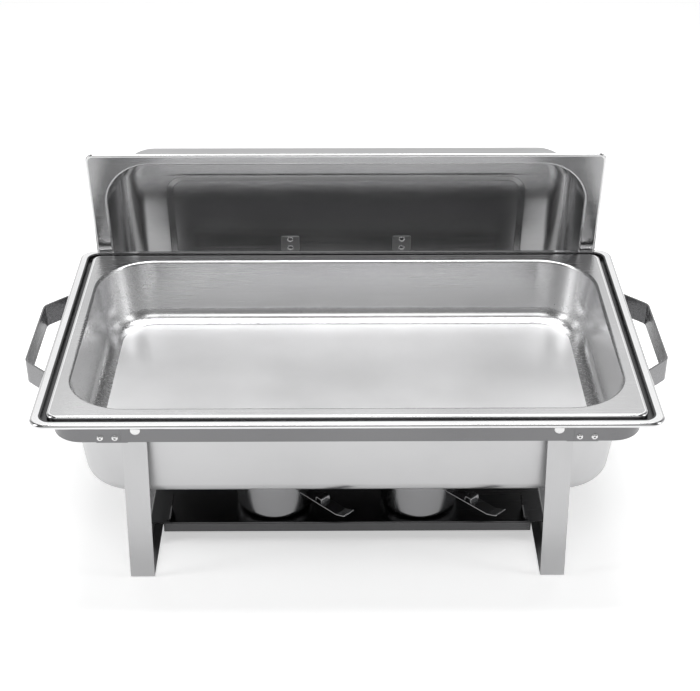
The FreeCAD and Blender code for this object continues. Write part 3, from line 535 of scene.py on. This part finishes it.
def drawn_shell(name, runs):
    """A closed pressed shell about the origin, ring by ring, with its rim plane at Z = 0.

    runs is a list of (station, points, finish); a point is (how far outside the station,
    height). Rings follow one another, and the first and the last keep their faces. They are
    bridged while they stand well apart, one above the other, and then each goes to its height.
    """
    rings = [(station.ring(spot[0]), spot[1], finish)
             for station, points, finish in runs for spot in points]
    if bpy.context.mode != "OBJECT":
        bpy.ops.object.mode_set(mode="OBJECT")
    bpy.ops.object.select_all(action="DESELECT")
    piece = None
    for index, ((half_x, half_y, corner), height, finish) in enumerate(rings):
        bpy.ops.mesh.primitive_plane_add(size=2, location=(0, 0, 0))
        if piece is None:
            piece = bpy.context.object
            piece.name = piece.data.name = name
            bpy.ops.object.mode_set(mode="EDIT")
            bmesh.from_edit_mesh(piece.data).verts.layers.int.new("ring")
        bpy.ops.transform.resize(value=(half_x, half_y, 1))
        bpy.ops.transform.translate(value=(0, 0, index * STACK))
        bpy.ops.mesh.bevel(offset=corner, segments=sizes().corner_steps, affect="VERTICES")
        mesh = bmesh.from_edit_mesh(piece.data)
        order = mesh.verts.layers.int["ring"]
        for vertex in mesh.verts:
            if vertex.select:
                vertex[order] = index
        if 0 < index < len(rings) - 1:
            bpy.ops.mesh.delete(type="ONLY_FACE")
        bpy.ops.mesh.select_all(action="DESELECT")
    for index in range(len(rings) - 1):
        choose_rings(piece, index, index + 1)
        bpy.ops.mesh.bridge_edge_loops()
    for index, (outline, height, finish) in enumerate(rings):
        choose_rings(piece, index)
        bpy.ops.transform.translate(value=(0, 0, height - index * STACK))
    bpy.ops.mesh.select_all(action="SELECT")
    bpy.ops.mesh.normals_make_consistent(inside=False)
    bpy.ops.object.mode_set(mode="OBJECT")
    level = [item.value for item in piece.data.attributes["ring"].data]
    for face in piece.data.polygons:
        face.material_index = rings[min(level[corner] for corner in face.vertices)][2]
    piece.data.attributes.remove(piece.data.attributes["ring"])
    smooth(piece, angle=60)
    return piece


def choose_rings(piece, *wanted):
    """Select the edges that lie within the wanted rings."""
    bpy.ops.mesh.select_all(action="DESELECT")
    mesh = bmesh.from_edit_mesh(piece.data)
    order = mesh.verts.layers.int["ring"]
    for edge in mesh.edges:
        first, second = edge.verts
        if first[order] == second[order] and first[order] in wanted:
            edge.select_set(True)
    mesh.select_flush_mode()


def well_path(depth, draft, lip, base, gauge, inner):
    """The side of a well from its floor to its rim: the face inside it, or the one outside."""
    lean = math.tan(draft)
    shift = 0.0 if inner else gauge / math.cos(draft)
    top = 0.0 if inner else -gauge
    floor = gauge - depth if inner else -depth
    corners = [(-depth * lean - base * 1.6, floor), (floor * lean + shift, floor),
               (top * lean + shift, top), (shift + lip * 1.5, top)]
    radii = [base - gauge, lip] if inner else [base, lip - gauge]
    return rounded_path(corners, radii, steps=9)


def bead_path(radius, gauge, flat):
    """A rolled hem seen in section, from the flat rim's top round to its underside."""
    outer = arc_points((-radius, -radius), radius, 90, -90, 12)
    inner = arc_points((-radius, -radius), radius - gauge, -90, 90, 8)
    return [Vector((-radius - flat, 0))] + outer + inner + [Vector((-radius - flat, -gauge))]


# ------------------------------------------------------------------ places

def span(node):
    """A node's lowest corner, highest corner, middle and size."""
    low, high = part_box(node)
    return low, high, (low + high) / 2, high - low


def lid_lean():
    axis = JOINTS["lid_lift"]["axis"]
    return math.atan2(-axis[1], axis[2])


def lid_half_width():
    """Half the lid's width, from the height of its top edge as it leans on its hem."""
    height = span("lid_shell")[3].z
    return (height - sizes().lid_hem * math.sin(lid_lean())) / math.cos(lid_lean()) / 2


def apply_place(piece):
    bpy.ops.object.select_all(action="DESELECT")
    piece.select_set(True)
    bpy.context.view_layer.objects.active = piece
    bpy.ops.object.transform_apply(location=True, rotation=True, scale=True)


def stand_on_edge(piece):
    """Turn a lid piece, made as an upturned tray about its rim, up behind the pans."""
    low = span("lid_shell")[0]
    lean, half = lid_lean(), lid_half_width()
    piece.rotation_euler = (math.pi / 2 + lean, 0, 0)
    piece.location = (0, low.y + half * math.sin(lean), half * math.cos(lean))
    apply_place(piece)


# ------------------------------------------------------------------ operators

class PieceOperator:
    bl_options = {"REGISTER", "UNDO"}


class DISH_OT_food_pan(PieceOperator, bpy.types.Operator):
    """Press the food pan: rolled hem, flat rim, drafted well and rounded base"""
    bl_idname = "dish.food_pan"
    bl_label = "Food Pan"

    def execute(self, context):
        size = sizes()
        low, high, centre, whole = span("food_pan")
        rim = Station(whole.x / 2, whole.y / 2, size.rim_corner)
        well = Station(rim.half_x - size.food_rim,
                       rim.half_y - size.food_rim - size.long_side_extra, size.food_corner)
        form = (whole.z, size.food_draft, size.lip_round, size.food_round, size.gauge)
        bead = bead_path(size.bead, size.gauge, 1.0 * MM)
        inside = well_path(*form, True)
        runs = [(well, inside[:2], 3), (well, inside[2:], 0), (rim, bead[:1], 1),
                (rim, bead[1:], 2), (well, well_path(*form, False)[::-1], 0)]
        pan = drawn_shell("food_pan_pressing", runs)
        pan.location = (centre.x, centre.y, high.z)
        apply_place(pan)
        paint(pan, "well_polish", "rim_satin", "bead_polish", "floor_satin_painted_sheen")
        settle(pan, "food_pan", "food_pan_steel", "food_pan")
        return {"FINISHED"}


class DISH_OT_water_pan(PieceOperator, bpy.types.Operator):
    """Press the water pan: raised outer band, ledge for the food pan and deep well"""
    bl_idname = "dish.water_pan"
    bl_label = "Water Pan"

    def execute(self, context):
        size = sizes()
        low, high, centre, whole = span("water_pan")
        food_high, food_whole = span("food_pan")[1], span("food_pan")[3]
        ledge = food_high.z - 2 * size.bead - high.z
        rim = Station(whole.x / 2, whole.y / 2, size.rim_corner + size.groove)
        band = Station(food_whole.x / 2 + size.groove, food_whole.y / 2 + size.groove,
                       size.rim_corner)
        gap = size.gauge + size.pan_gap - size.food_rim
        well = Station(food_whole.x / 2 + gap, food_whole.y / 2 + gap - size.long_side_extra,
                       size.food_corner + size.gauge + size.pan_gap)
        form = (whole.z + ledge, size.water_draft, 2 * MM, size.water_round, size.gauge)
        inside = [spot + Vector((0, ledge)) for spot in well_path(*form, True)]
        outside = [spot + Vector((0, ledge)) for spot in well_path(*form, False)]
        rise = rounded_path([(-2 * MM, ledge), (0, ledge), (0, 0), (2 * MM, 0)],
                            [0.5 * MM, 0.9 * MM], steps=4)
        fall = rounded_path([(2 * MM, -size.gauge), (size.gauge, -size.gauge),
                             (size.gauge, ledge - size.gauge), (-2 * MM, ledge - size.gauge)],
                            [0.3 * MM, 0.3 * MM], steps=2)
        bead = bead_path(size.bead, size.gauge, 1 * MM)
        # Finish 4 is painted shade: the ledge and the raised band's rise round the food pan get
        # a near-black colour for the shade in the groove.
        runs = [(well, inside[:-1], 0), (well, inside[-1:], 4), (band, rise[:-1], 4),
                (band, rise[-1:], 1), (rim, bead[:1], 1), (rim, bead[1:], 2),
                (band, fall, 1), (well, outside[::-1], 3)]
        pan = drawn_shell("water_pan_pressing", runs)
        pan.location = (centre.x, centre.y, high.z)
        apply_place(pan)
        paint(pan, "well_polish", "rim_satin", "bead_polish", "bath_satin", "groove_painted_shade")
        settle(pan, "water_pan", "water_pan_steel", "water_pan")
        return {"FINISHED"}


class DISH_OT_lid(PieceOperator, bpy.types.Operator):
    """Press the lid, with the flat panel raised on its crown"""
    bl_idname = "dish.lid"
    bl_label = "Lid"

    def execute(self, context):
        size = sizes()
        rim = Station(span("lid_shell")[3].x / 2, lid_half_width(), 0.8 * size.rim_corner)
        well = Station(rim.half_x - size.lid_side, rim.half_y - size.lid_edge, size.lid_corner)
        panel = Station(size.panel_length / 2, size.panel_width / 2, 19 * MM)
        form = (size.lid_depth, size.lid_draft, size.lip_round, size.lid_round, size.gauge)
        slopes = []
        for floor in (size.gauge - size.lid_depth, -size.lid_depth):
            deep = floor - size.panel_rise
            corners = [(4 * MM, floor), (0, floor), (-size.panel_slope, deep),
                       (-size.panel_slope - 6 * MM, deep)]
            slopes.append(rounded_path(corners, [3 * MM, 3 * MM], steps=4))
        bead = bead_path(size.lid_hem / 2, size.gauge, 1 * MM)
        runs = [(panel, slopes[0][::-1], 0), (well, well_path(*form, True), 0),
                (rim, bead[:1], 1), (rim, bead[1:], 2),
                (well, well_path(*form, False)[::-1], 3), (panel, slopes[1], 3)]
        lid = drawn_shell("lid_pressing", runs)
        stand_on_edge(lid)
        paint(lid, "crown_polish", "lid_rim_satin_painted_sheen", "bead_polish", "bath_satin")
        settle(lid, "lid", "lid_steel", "lid_shell")
        return {"FINISHED"}


class DISH_OT_lid_handle(PieceOperator, bpy.types.Operator):
    """Bend the lid's strip handle, with backing plates inside the lid and its rivets"""
    bl_idname = "dish.lid_handle"
    bl_label = "Lid Handle"

    def execute(self, context):
        size = sizes()
        gauge = size.handle_gauge
        crown = size.lid_depth + size.panel_rise
        reach = size.lid_handle_reach
        half = size.lid_handle_bar / 2
        root, end = half + size.lid_handle_spread, half + size.lid_handle_spread + 21 * MM
        near, far = -(crown + gauge / 2), -(crown + reach + gauge / 2)
        half_path = [(-end, near), (-root, near), (-half, far)]
        corners = half_path + [(-x, z) for x, z in reversed(half_path)]
        path = [Vector((x, -size.lid_handle_width / 2, z))
                for x, z in rounded_path(corners, [size.handle_bend] * 4, steps=9)]
        handle = ribbon("lid_handle_strip", path, (0, size.lid_handle_width, 0))
        round_ends(handle, 3 * MM, lambda spot: abs(spot.x) > end - 0.1 * MM)
        thicken(handle, gauge, 0.3 * MM)
        stand_on_edge(handle)
        paint(handle, "grip_satin_painted_shade")
        settle(handle, "lid", "handle_steel", "lid_handle")
        foot = root + (end - root) / 2
        inside = size.gauge + size.plate_gauge - crown
        for name, side in SIDES:
            plate = rounded_plate(f"{name}_handle_plate", 20 * MM, 19 * MM, size.plate_gauge,
                                  1.5 * MM)
            plate.location = (side * foot, 0, inside - size.plate_gauge)
            apply_place(plate)
            stand_on_edge(plate)
            paint(plate, "plate_satin")
            settle(plate, "lid", "lid_steel", f"{name}_lid_plate")
        head, rise, tail, tail_rise = RIVETS["lid"]
        pieces = []
        for side in (-1, 1):
            for row in (-1, 1):
                spot = (side * foot, row * size.lid_rivet_pitch / 2)
                pieces.append(rivet_head("head", head, rise, (*spot, inside), (0, 0, 1)))
                pieces.append(rivet_head("tail", tail, tail_rise,
                                         (*spot, -(crown + gauge)), (0, 0, -1)))
        rivets = join(pieces, "lid_handle_rivet_heads")
        stand_on_edge(rivets)
        paint(rivets, "rivet_bright")
        settle(rivets, "lid", "rivet_steel", "lid_handle_rivets")
        return {"FINISHED"}


class DISH_OT_ring(PieceOperator, bpy.types.Operator):
    """Bend the stand's ring: two rails, two end bands and the four plates that join them"""
    bl_idname = "dish.ring"
    bl_label = "Ring"

    def execute(self, context):
        size = sizes()
        for name in ("front_rail", "rear_rail", "front_left_splice", "front_right_splice",
                     "rear_left_splice", "rear_right_splice"):
            low, high, centre, whole = span(name)
            path = [Vector((low.x, centre.y, low.z)), Vector((high.x, centre.y, low.z))]
            strip = ribbon(f"{name}_strip", path, (0, 0, whole.z))
            thicken(strip, whole.y, 0.25 * MM)
            paint(strip, "ring_satin_painted_shade")
            settle(strip, "stand", "ring_steel", name)
        for name, side in SIDES:
            low, high, centre, whole = span(f"{name}_end_band")
            half = size.strip / 2
            near = low.x if side > 0 else high.x
            far = (high.x if side > 0 else low.x) - side * half
            corners = [(near, low.y + half), (far, low.y + half), (far, high.y - half),
                       (near, high.y - half)]
            path = [Vector((x, y, low.z))
                    for x, y in rounded_path(corners, [size.ring_corner - half] * 2, steps=20)]
            band = ribbon(f"{name}_band_strip", path, (0, 0, whole.z))
            thicken(band, size.strip, 0.25 * MM)
            paint(band, "ring_satin_painted_shade")
            settle(band, "stand", "ring_steel", f"{name}_end_band")
        return {"FINISHED"}


class DISH_OT_side_handles(PieceOperator, bpy.types.Operator):
    """Bend the two strip handles at the ends of the stand"""
    bl_idname = "dish.side_handles"
    bl_label = "Side Handles"

    def execute(self, context):
        size = sizes()
        for name, side in SIDES:
            low, high, centre, whole = span(f"{name}_handle")
            gauge = size.handle_gauge
            near = (low.x if side > 0 else high.x) + side * gauge / 2
            far = (high.x if side > 0 else low.x) - side * gauge / 2
            half = size.handle_bar / 2
            root = half + size.handle_spread
            half_path = [(near, -whole.y / 2), (near, -root), (far, -half)]
            corners = half_path + [(x, -y) for x, y in reversed(half_path)]
            path = [Vector((x, centre.y + y, low.z))
                    for x, y in rounded_path(corners, [size.handle_bend + gauge / 2] * 4,
                                             steps=9)]
            handle = ribbon(f"{name}_handle_strip", path, (0, 0, whole.z))
            edge = whole.y / 2 - 0.1 * MM
            round_ends(handle, 4 * MM, lambda spot: abs(spot.y - centre.y) > edge)
            thicken(handle, gauge, 0.35 * MM)
            paint(handle, "grip_satin_painted_shade")
            settle(handle, "stand", "handle_steel", f"{name}_handle")
        return {"FINISHED"}


class DISH_OT_legs(PieceOperator, bpy.types.Operator):
    """Bend the two folding legs: splayed uprights joined by a bar on the floor"""
    bl_idname = "dish.legs"
    bl_label = "Legs"

    def execute(self, context):
        size = sizes()
        for name, side in SIDES:
            low, high, centre, whole = span(f"{name}_leg")
            half = size.strip / 2
            inner, outer = (low.x, high.x) if side > 0 else (high.x, low.x)
            width = size.leg_width
            shift = (abs(outer - inner) - width) / whole.z
            corners = [(low.y + half, high.z), (low.y + half, half), (high.y - half, half),
                       (high.y - half, high.z)]
            path = [Vector((outer - side * (width + shift * z), y, z))
                    for y, z in rounded_path(corners, [1.7 * MM] * 2, steps=5)]
            leg = ribbon(f"{name}_leg_strip", path, (side * width, 0, 0))
            round_ends(leg, 5 * MM, lambda spot: spot.z > high.z - 0.1 * MM)
            thicken(leg, size.strip, 0.25 * MM)
            paint(leg, "leg_satin")
            settle(leg, f"{name}_leg", "leg_steel", f"{name}_leg")
        return {"FINISHED"}


class DISH_OT_rivets(PieceOperator, bpy.types.Operator):
    """Set the stand's rivets: leg pivots, small hollow ones at the joints, handle rivets"""
    bl_idname = "dish.rivets"
    bl_label = "Rivets"

    def execute(self, context):
        size = sizes()
        low, high, centre, whole = span("pivot_rivets")
        ring = span("left_end_band")
        faces = ((ring[0].y, -1), (ring[1].y, 1))
        pivots, small = [], []
        reach = abs(JOINTS["left_leg_fold"]["pos_m"][0])
        for side in (-1, 1):
            for face, out in faces:
                pivots.append(rivet_head("head", size.pivot_head, PIVOT_HEIGHT,
                                         (side * reach, face, centre.z), (0, out, 0)))
                back = face - out * (3 * size.strip + 2 * size.rest_gap)
                pivots.append(rivet_head("tail", PIVOT_TAIL, PIVOT_TAIL_HEIGHT,
                                         (side * reach, back, centre.z), (0, -out, 0)))
        pivots = join(pivots, "pivot_rivet_heads")
        paint(pivots, "rivet_bright")
        settle(pivots, "stand", "rivet_steel", "pivot_rivets")
        low, high, centre, whole = span("splice_rivets")
        far = high.x - 2.9 * MM
        head, rise, tail, tail_rise = RIVETS["joint"]
        for side in (-1, 1):
            for face, out in faces:
                for place in (far, far - size.splice_pitch):
                    small.append(rivet_head("head", head, rise,
                                            (side * place, face, centre.z), (0, out, 0),
                                            hollow=True))
                    small.append(rivet_head("tail", tail, tail_rise,
                                            (side * place, face - out * 2 * size.strip,
                                             centre.z), (0, -out, 0)))
        small = join(small, "joint_rivet_heads")
        paint(small, "rivet_bright")
        settle(small, "stand", "rivet_steel", "splice_rivets")
        low, high, centre, whole = span("handle_rivets")
        heads = []
        gauge = size.handle_gauge
        outer = span("right_end_band")[1].x + gauge
        head, rise, tail, tail_rise = RIVETS["handle"]
        for side in (-1, 1):
            for end in (low.y + 3.8 * MM, high.y - 3.8 * MM):
                heads.append(rivet_head("head", head, rise, (side * outer, end, centre.z),
                                        (side, 0, 0)))
                back = side * (outer - gauge - size.strip)
                heads.append(rivet_head("tail", tail, tail_rise, (back, end, centre.z),
                                        (-side, 0, 0)))
        heads = join(heads, "handle_rivet_heads")
        paint(heads, "rivet_bright")
        settle(heads, "stand", "rivet_steel", "handle_rivets")
        return {"FINISHED"}


class DISH_OT_shelf(PieceOperator, bpy.types.Operator):
    """Fold the fuel shelf from one sheet, with four lanced stops"""
    bl_idname = "dish.shelf"
    bl_label = "Fuel Shelf"

    def execute(self, context):
        size = sizes()
        low, high, centre, whole = span("fuel_shelf")
        gauge, top = size.strip, size.shelf_top
        lip = size.lip_half
        start_plane("fuel_shelf_sheet", (whole.x - gauge) / 2, (whole.y - gauge) / 2,
                    (0, centre.y, top - gauge / 2))
        shelf = bpy.context.object
        for place, normal in (((lip, 0, 0), (1, 0, 0)), ((-lip, 0, 0), (1, 0, 0)),
                              ((0, low.y + size.lip_side, 0), (0, 1, 0)),
                              ((0, high.y - size.lip_side, 0), (0, 1, 0))):
            bpy.ops.mesh.select_all(action="SELECT")
            bpy.ops.mesh.bisect(plane_co=place, plane_no=normal)
        edge_y = whole.y / 2 - gauge / 2
        choose_edges(shelf, lambda spot: abs(abs(spot.y - centre.y) - edge_y) < 0.1 * MM
                     and abs(spot.x) < lip + 0.1 * MM)
        bpy.ops.mesh.extrude_edges_move(
            TRANSFORM_OT_translate={"value": (0, 0, gauge / 2 - size.shelf_lip)})
        edge_x = whole.x / 2 - gauge / 2
        choose_edges(shelf, lambda spot: abs(abs(spot.x) - edge_x) < 0.1 * MM
                     and abs(spot.y - centre.y) < whole.y / 2 - 3.3 * MM)
        bpy.ops.mesh.extrude_edges_move(
            TRANSFORM_OT_translate={"value": (0, 0, low.z - (top - gauge / 2))})
        finish_mesh(shelf)
        bevel_edges(shelf, 1.3 * MM, segments=4, angle=60)
        thicken(shelf, gauge, 0.2 * MM)
        stops = [shelf]
        stop = size.stop_height
        for side in (-1, 1):
            for row in (-1, 1):
                foot = side * (size.stop_reach - gauge / 2)
                tip = foot - side * stop * math.tan(size.stop_lean)
                y = (centre.y + row * (whole.y / 2 - size.stop_side)
                     - size.stop_width / 2)
                corners = [(foot + side * 3 * MM, top), (foot, top), (tip, top + stop)]
                path = [Vector((x, y, z)) for x, z in rounded_path(corners, [1.2 * MM], 5)]
                tab = ribbon("stop", path, (0, size.stop_width, 0))
                round_ends(tab, 2 * MM, lambda spot: spot.z > top + stop - 0.1 * MM)
                stops.append(thicken(tab, gauge, 0.2 * MM))
        shelf = join(stops, "fuel_shelf_sheet")
        paint(shelf, "shelf_painted_shade")
        settle(shelf, "shelf", "shelf_steel", "fuel_shelf")
        return {"FINISHED"}


class DISH_OT_burners(PieceOperator, bpy.types.Operator):
    """Turn the fuel cups and covers, and bend their grips and snuffers"""
    bl_idname = "dish.burners"
    bl_label = "Fuel Burners"

    def execute(self, context):
        for name, side in SIDES:
            low, high, centre, whole = span(f"{name}_fuel_cup")
            axis = Vector((centre.x, centre.y, low.z))
            make_cup(name, axis, whole)
            make_cover(name, axis)
            make_grip(name, axis)
            make_snuffer(name, axis)
        return {"FINISHED"}


def make_cup(name, axis, whole):
    size = sizes()
    radius, gauge = whole.x / 2, size.gauge
    outer = rounded_path([(0.01 * MM, 0), (radius, 0), (radius, whole.z)], [8 * MM], steps=8)
    inner = rounded_path([(radius - gauge, whole.z), (radius - gauge, gauge),
                          (0.01 * MM, gauge)], [8 * MM - gauge], steps=8)
    profile = outer + inner
    cup = turned(f"{name}_cup", profile + profile[:1], axis)
    smooth(cup)
    paint(cup, "burner_satin")
    settle(cup, f"{name}_burner", "burner_steel", f"{name}_fuel_cup")


def make_cover(name, axis):
    size = sizes()
    low, high, centre, whole = span(f"{name}_cup_cover")
    gauge, radius = size.gauge, whole.x / 2
    top, skirt = high.z - axis.z, low.z - axis.z
    mouth = size.cover_mouth
    outer = rounded_path([(mouth, top), (radius, top), (radius, skirt)], [2.2 * MM], steps=6)
    inner = rounded_path([(radius - gauge, skirt), (radius - gauge, top - gauge),
                          (mouth, top - gauge)], [1.4 * MM], steps=6)
    profile = outer + inner
    cover = turned(f"{name}_cover", profile + profile[:1], axis)
    smooth(cover)
    paint(cover, "burner_satin")
    settle(cover, f"{name}_burner", "burner_steel", f"{name}_cup_cover")


def make_grip(name, axis):
    size = sizes()
    low, high, centre, whole = span(f"{name}_cup_cover")
    gauge, width = size.grip_gauge, size.grip_width
    start, base = whole.x / 2 + gauge / 2, low.z - axis.z + gauge / 2
    end = whole.x / 2 + size.grip_length
    tip = end + size.grip_tip
    corners = [(start, base + 8.5 * MM), (start, base), (end, base),
               (tip - 2 * MM, base + 3.5 * MM), (tip, base + 5.8 * MM)]
    path = [Vector((x, -width / 2, z))
            for x, z in rounded_path(corners, [1 * MM, 5 * MM, 2.5 * MM], steps=6)]
    run = ribbon("run", path, (0, width, 0))
    round_ends(run, 3 * MM, lambda spot: spot.x > tip - 0.1 * MM)
    thicken(run, gauge, 0.2 * MM)
    arch = whole.x / 2 + size.loop_place
    rise = size.loop_height
    corners = [(arch, base), (arch + 0.6 * MM, base + rise), (arch + 7 * MM, base + rise),
               (arch + 7.6 * MM, base)]
    path = [Vector((x, -width / 2 + 1 * MM, z))
            for x, z in rounded_path(corners, [1.2 * MM] * 2, steps=5)]
    loop = thicken(ribbon("loop", path, (0, width - 2 * MM, 0)), 0.8 * MM, 0.2 * MM)
    grip = join([run, loop], f"{name}_grip")
    grip.rotation_euler = (0, 0, math.radians(-45))
    grip.location = axis
    apply_place(grip)
    paint(grip, "burner_satin")
    settle(grip, f"{name}_burner", "burner_steel", f"{name}_cup_grip")


def make_snuffer(name, axis):
    size = sizes()
    low, high, centre, whole = span(f"{name}_snuffer")
    gauge = high.z - low.z
    base, radius = low.z - axis.z, size.snuffer_radius
    pivot = Vector(JOINTS[f"{name}_snuffer_swing"]["pos_m"])
    turn = math.atan2(pivot.y - axis.y, pivot.x - axis.x)
    reach = math.hypot(pivot.y - axis.y, pivot.x - axis.x)
    rim = rounded_path([(radius - 2 * MM, base + gauge), (radius, base + gauge), (radius, base),
                        (radius - 2 * MM, base)], [0.3 * MM] * 2, steps=4)
    profile = [Vector((0.01 * MM, base)), Vector((0.01 * MM, base + gauge))]
    profile += [Vector((radius - 5 * MM, base + gauge))] + rim + [Vector((0.01 * MM, base))]
    disc = turned("disc", profile, (0, 0, 0))
    smooth(disc)
    path = [Vector((x, -5 * MM, base + gauge / 2))
            for x in (radius - 3 * MM, reach, reach + 18 * MM)]
    arm = ribbon("arm", path, (0, 10 * MM, 0))
    round_ends(arm, 4 * MM, lambda spot: spot.x > reach + 17.9 * MM)
    thicken(arm, gauge, 0.2 * MM)
    snuffer = join([disc, arm], f"{name}_snuffer_disc")
    snuffer.rotation_euler = (0, 0, turn)
    snuffer.location = axis
    apply_place(snuffer)
    paint(snuffer, "burner_satin")
    settle(snuffer, f"{name}_snuffer", "burner_steel", f"{name}_snuffer")
    top = span(f"{name}_snuffer_rivet")[1].z
    rivet = rivet_head(f"{name}_snuffer_pivot", SNUFFER_RIVET, SNUFFER_RIVET_HEIGHT,
                       (pivot.x, pivot.y, top - SNUFFER_RIVET_HEIGHT), (0, 0, 1))
    paint(rivet, "rivet_bright")
    settle(rivet, f"{name}_burner", "rivet_steel", f"{name}_snuffer_rivet")


class DISH_OT_stage(PieceOperator, bpy.types.Operator):
    """Set the pale floor, the soft studio light and the camera"""
    bl_idname = "dish.stage"
    bl_label = "Stage"

    def execute(self, context):
        make_floor()
        make_studio_light()
        make_camera()
        return {"FINISHED"}


def make_floor():
    bpy.ops.object.select_all(action="DESELECT")
    bpy.ops.mesh.primitive_plane_add(size=14, location=(0, 0, -0.2 * MM))
    floor = bpy.context.object
    floor.name = "studio_floor"
    bpy.ops.object.transform_apply(location=True)
    material = bpy.data.materials.new("floor_paper")
    material.use_nodes = True
    nodes, links = material.node_tree.nodes, material.node_tree.links
    shader = nodes["Principled BSDF"]
    shader.inputs["Roughness"].default_value = 0.9
    shader.inputs["Specular IOR Level"].default_value = 0.1
    shader.inputs["Emission Color"].default_value = (1.0, 1.0, 1.0, 1.0)
    shader.inputs["Emission Strength"].default_value = 0.5
    place = nodes.new("ShaderNodeTexCoord")
    texture = nodes.new("ShaderNodeTexNoise")
    texture.inputs["Scale"].default_value = 3.0
    links.new(place.outputs["Object"], texture.inputs["Vector"])
    tint = nodes.new("ShaderNodeMix")
    tint.data_type = "RGBA"
    tint.inputs["A"].default_value = (0.91, 0.91, 0.91, 1)
    tint.inputs["B"].default_value = (0.93, 0.93, 0.93, 1)
    links.new(texture.outputs["Fac"], tint.inputs["Factor"])
    links.new(tint.outputs["Result"], shader.inputs["Base Color"])
    floor.data.materials.append(material)


def make_studio_light():
    """A bright wall behind the lid and at both ends, a dim ceiling, and soft panels."""
    world = bpy.data.worlds.new("studio")
    bpy.context.scene.world = world
    world.use_nodes = True
    nodes, links = world.node_tree.nodes, world.node_tree.links
    background = nodes["Background"]
    place = nodes.new("ShaderNodeTexCoord")
    split = nodes.new("ShaderNodeSeparateXYZ")
    links.new(place.outputs["Generated"], split.inputs["Vector"])

    def ramp(value, stops):
        shade = nodes.new("ShaderNodeValToRGB")
        while len(shade.color_ramp.elements) < len(stops):
            shade.color_ramp.elements.new(0.5)
        for element, (spot, level) in zip(shade.color_ramp.elements, stops):
            element.position = spot
            element.color = (level, level, level, 1)
        links.new(value, shade.inputs["Fac"])
        return shade.outputs["Color"]

    def shifted(value):
        half = nodes.new("ShaderNodeMath")
        half.operation = "MULTIPLY_ADD"
        half.inputs[1].default_value = 0.5
        half.inputs[2].default_value = 0.5
        links.new(value, half.inputs[0])
        return half.outputs[0]

    depth = ramp(shifted(split.outputs["Y"]), [(0.0, 0.45), (0.06, 0.35), (0.14, 0.12),
                                               (0.75, 0.12), (0.86, 0.95), (1.0, 0.95)])
    away = nodes.new("ShaderNodeMath")
    away.operation = "ABSOLUTE"
    links.new(split.outputs["X"], away.inputs[0])
    side = ramp(away.outputs[0], [(0.0, 0.0), (0.7, 0.0), (0.9, 0.8), (1.0, 0.8)])
    brighter = nodes.new("ShaderNodeMath")
    brighter.operation = "MAXIMUM"
    links.new(depth, brighter.inputs[0])
    links.new(side, brighter.inputs[1])
    links.new(brighter.outputs[0], background.inputs["Color"])
    background.inputs["Strength"].default_value = 1.0
    for name, spot, wide, tall, power in STUDIO_LIGHTS:
        light = bpy.data.lights.new(name, "AREA")
        light.shape = "RECTANGLE"
        light.size, light.size_y = wide, tall
        light.energy = power
        lamp = bpy.data.objects.new(name, light)
        lamp.location = spot
        aim = Vector((0, 0, 0.15)) - Vector(spot)
        lamp.rotation_euler = aim.to_track_quat("-Z", "Y").to_euler()
        bpy.context.collection.objects.link(lamp)


def make_camera():
    """Look down on the serving side from a little left of the middle."""
    low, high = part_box("food_pan")
    target = Vector((0.0, (low.y + high.y) / 2, high.z))
    data = bpy.data.cameras.new("camera")
    data.sensor_width = 36.0
    data.lens = 36.0 * CAMERA["focal"]
    data.shift_y = CAMERA["rise"]
    camera = bpy.data.objects.new("camera", data)
    camera.location = target + Vector(CAMERA["offset"])
    camera.rotation_euler = (math.pi / 2 - CAMERA["pitch"], 0, -CAMERA["yaw"])
    bpy.context.collection.objects.link(camera)
    bpy.context.scene.camera = camera
    bpy.context.scene.view_settings.view_transform = "Standard"


class DISH_PT_panel(bpy.types.Panel):
    bl_label = "Chafing Dish"
    bl_idname = "DISH_PT_panel"
    bl_space_type = "VIEW_3D"
    bl_region_type = "UI"
    bl_category = "Chafing Dish"

    def draw(self, context):
        for operator in OPERATORS:
            self.layout.operator(operator.bl_idname)
        for group in (context.scene.dish_sizes, context.scene.dish_colours):
            for key in group.__annotations__:
                self.layout.prop(group, key)


OPERATORS = (DISH_OT_food_pan, DISH_OT_water_pan, DISH_OT_lid, DISH_OT_lid_handle, DISH_OT_ring,
             DISH_OT_side_handles, DISH_OT_legs, DISH_OT_rivets, DISH_OT_shelf,
             DISH_OT_burners, DISH_OT_stage)
CLASSES = (DishSizes, SteelColours, *OPERATORS, DISH_PT_panel)


def register():
    for item in CLASSES:
        bpy.utils.register_class(item)
    bpy.types.Scene.dish_sizes = PointerProperty(type=DishSizes)
    bpy.types.Scene.dish_colours = PointerProperty(type=SteelColours)


def unregister():
    del bpy.types.Scene.dish_colours
    del bpy.types.Scene.dish_sizes
    for item in reversed(CLASSES):
        bpy.utils.unregister_class(item)


def main():
    register()
    for operator in OPERATORS:
        group, name = operator.bl_idname.split(".")
        getattr(getattr(bpy.ops, group), name)()


if __name__ == "__main__":
    main()
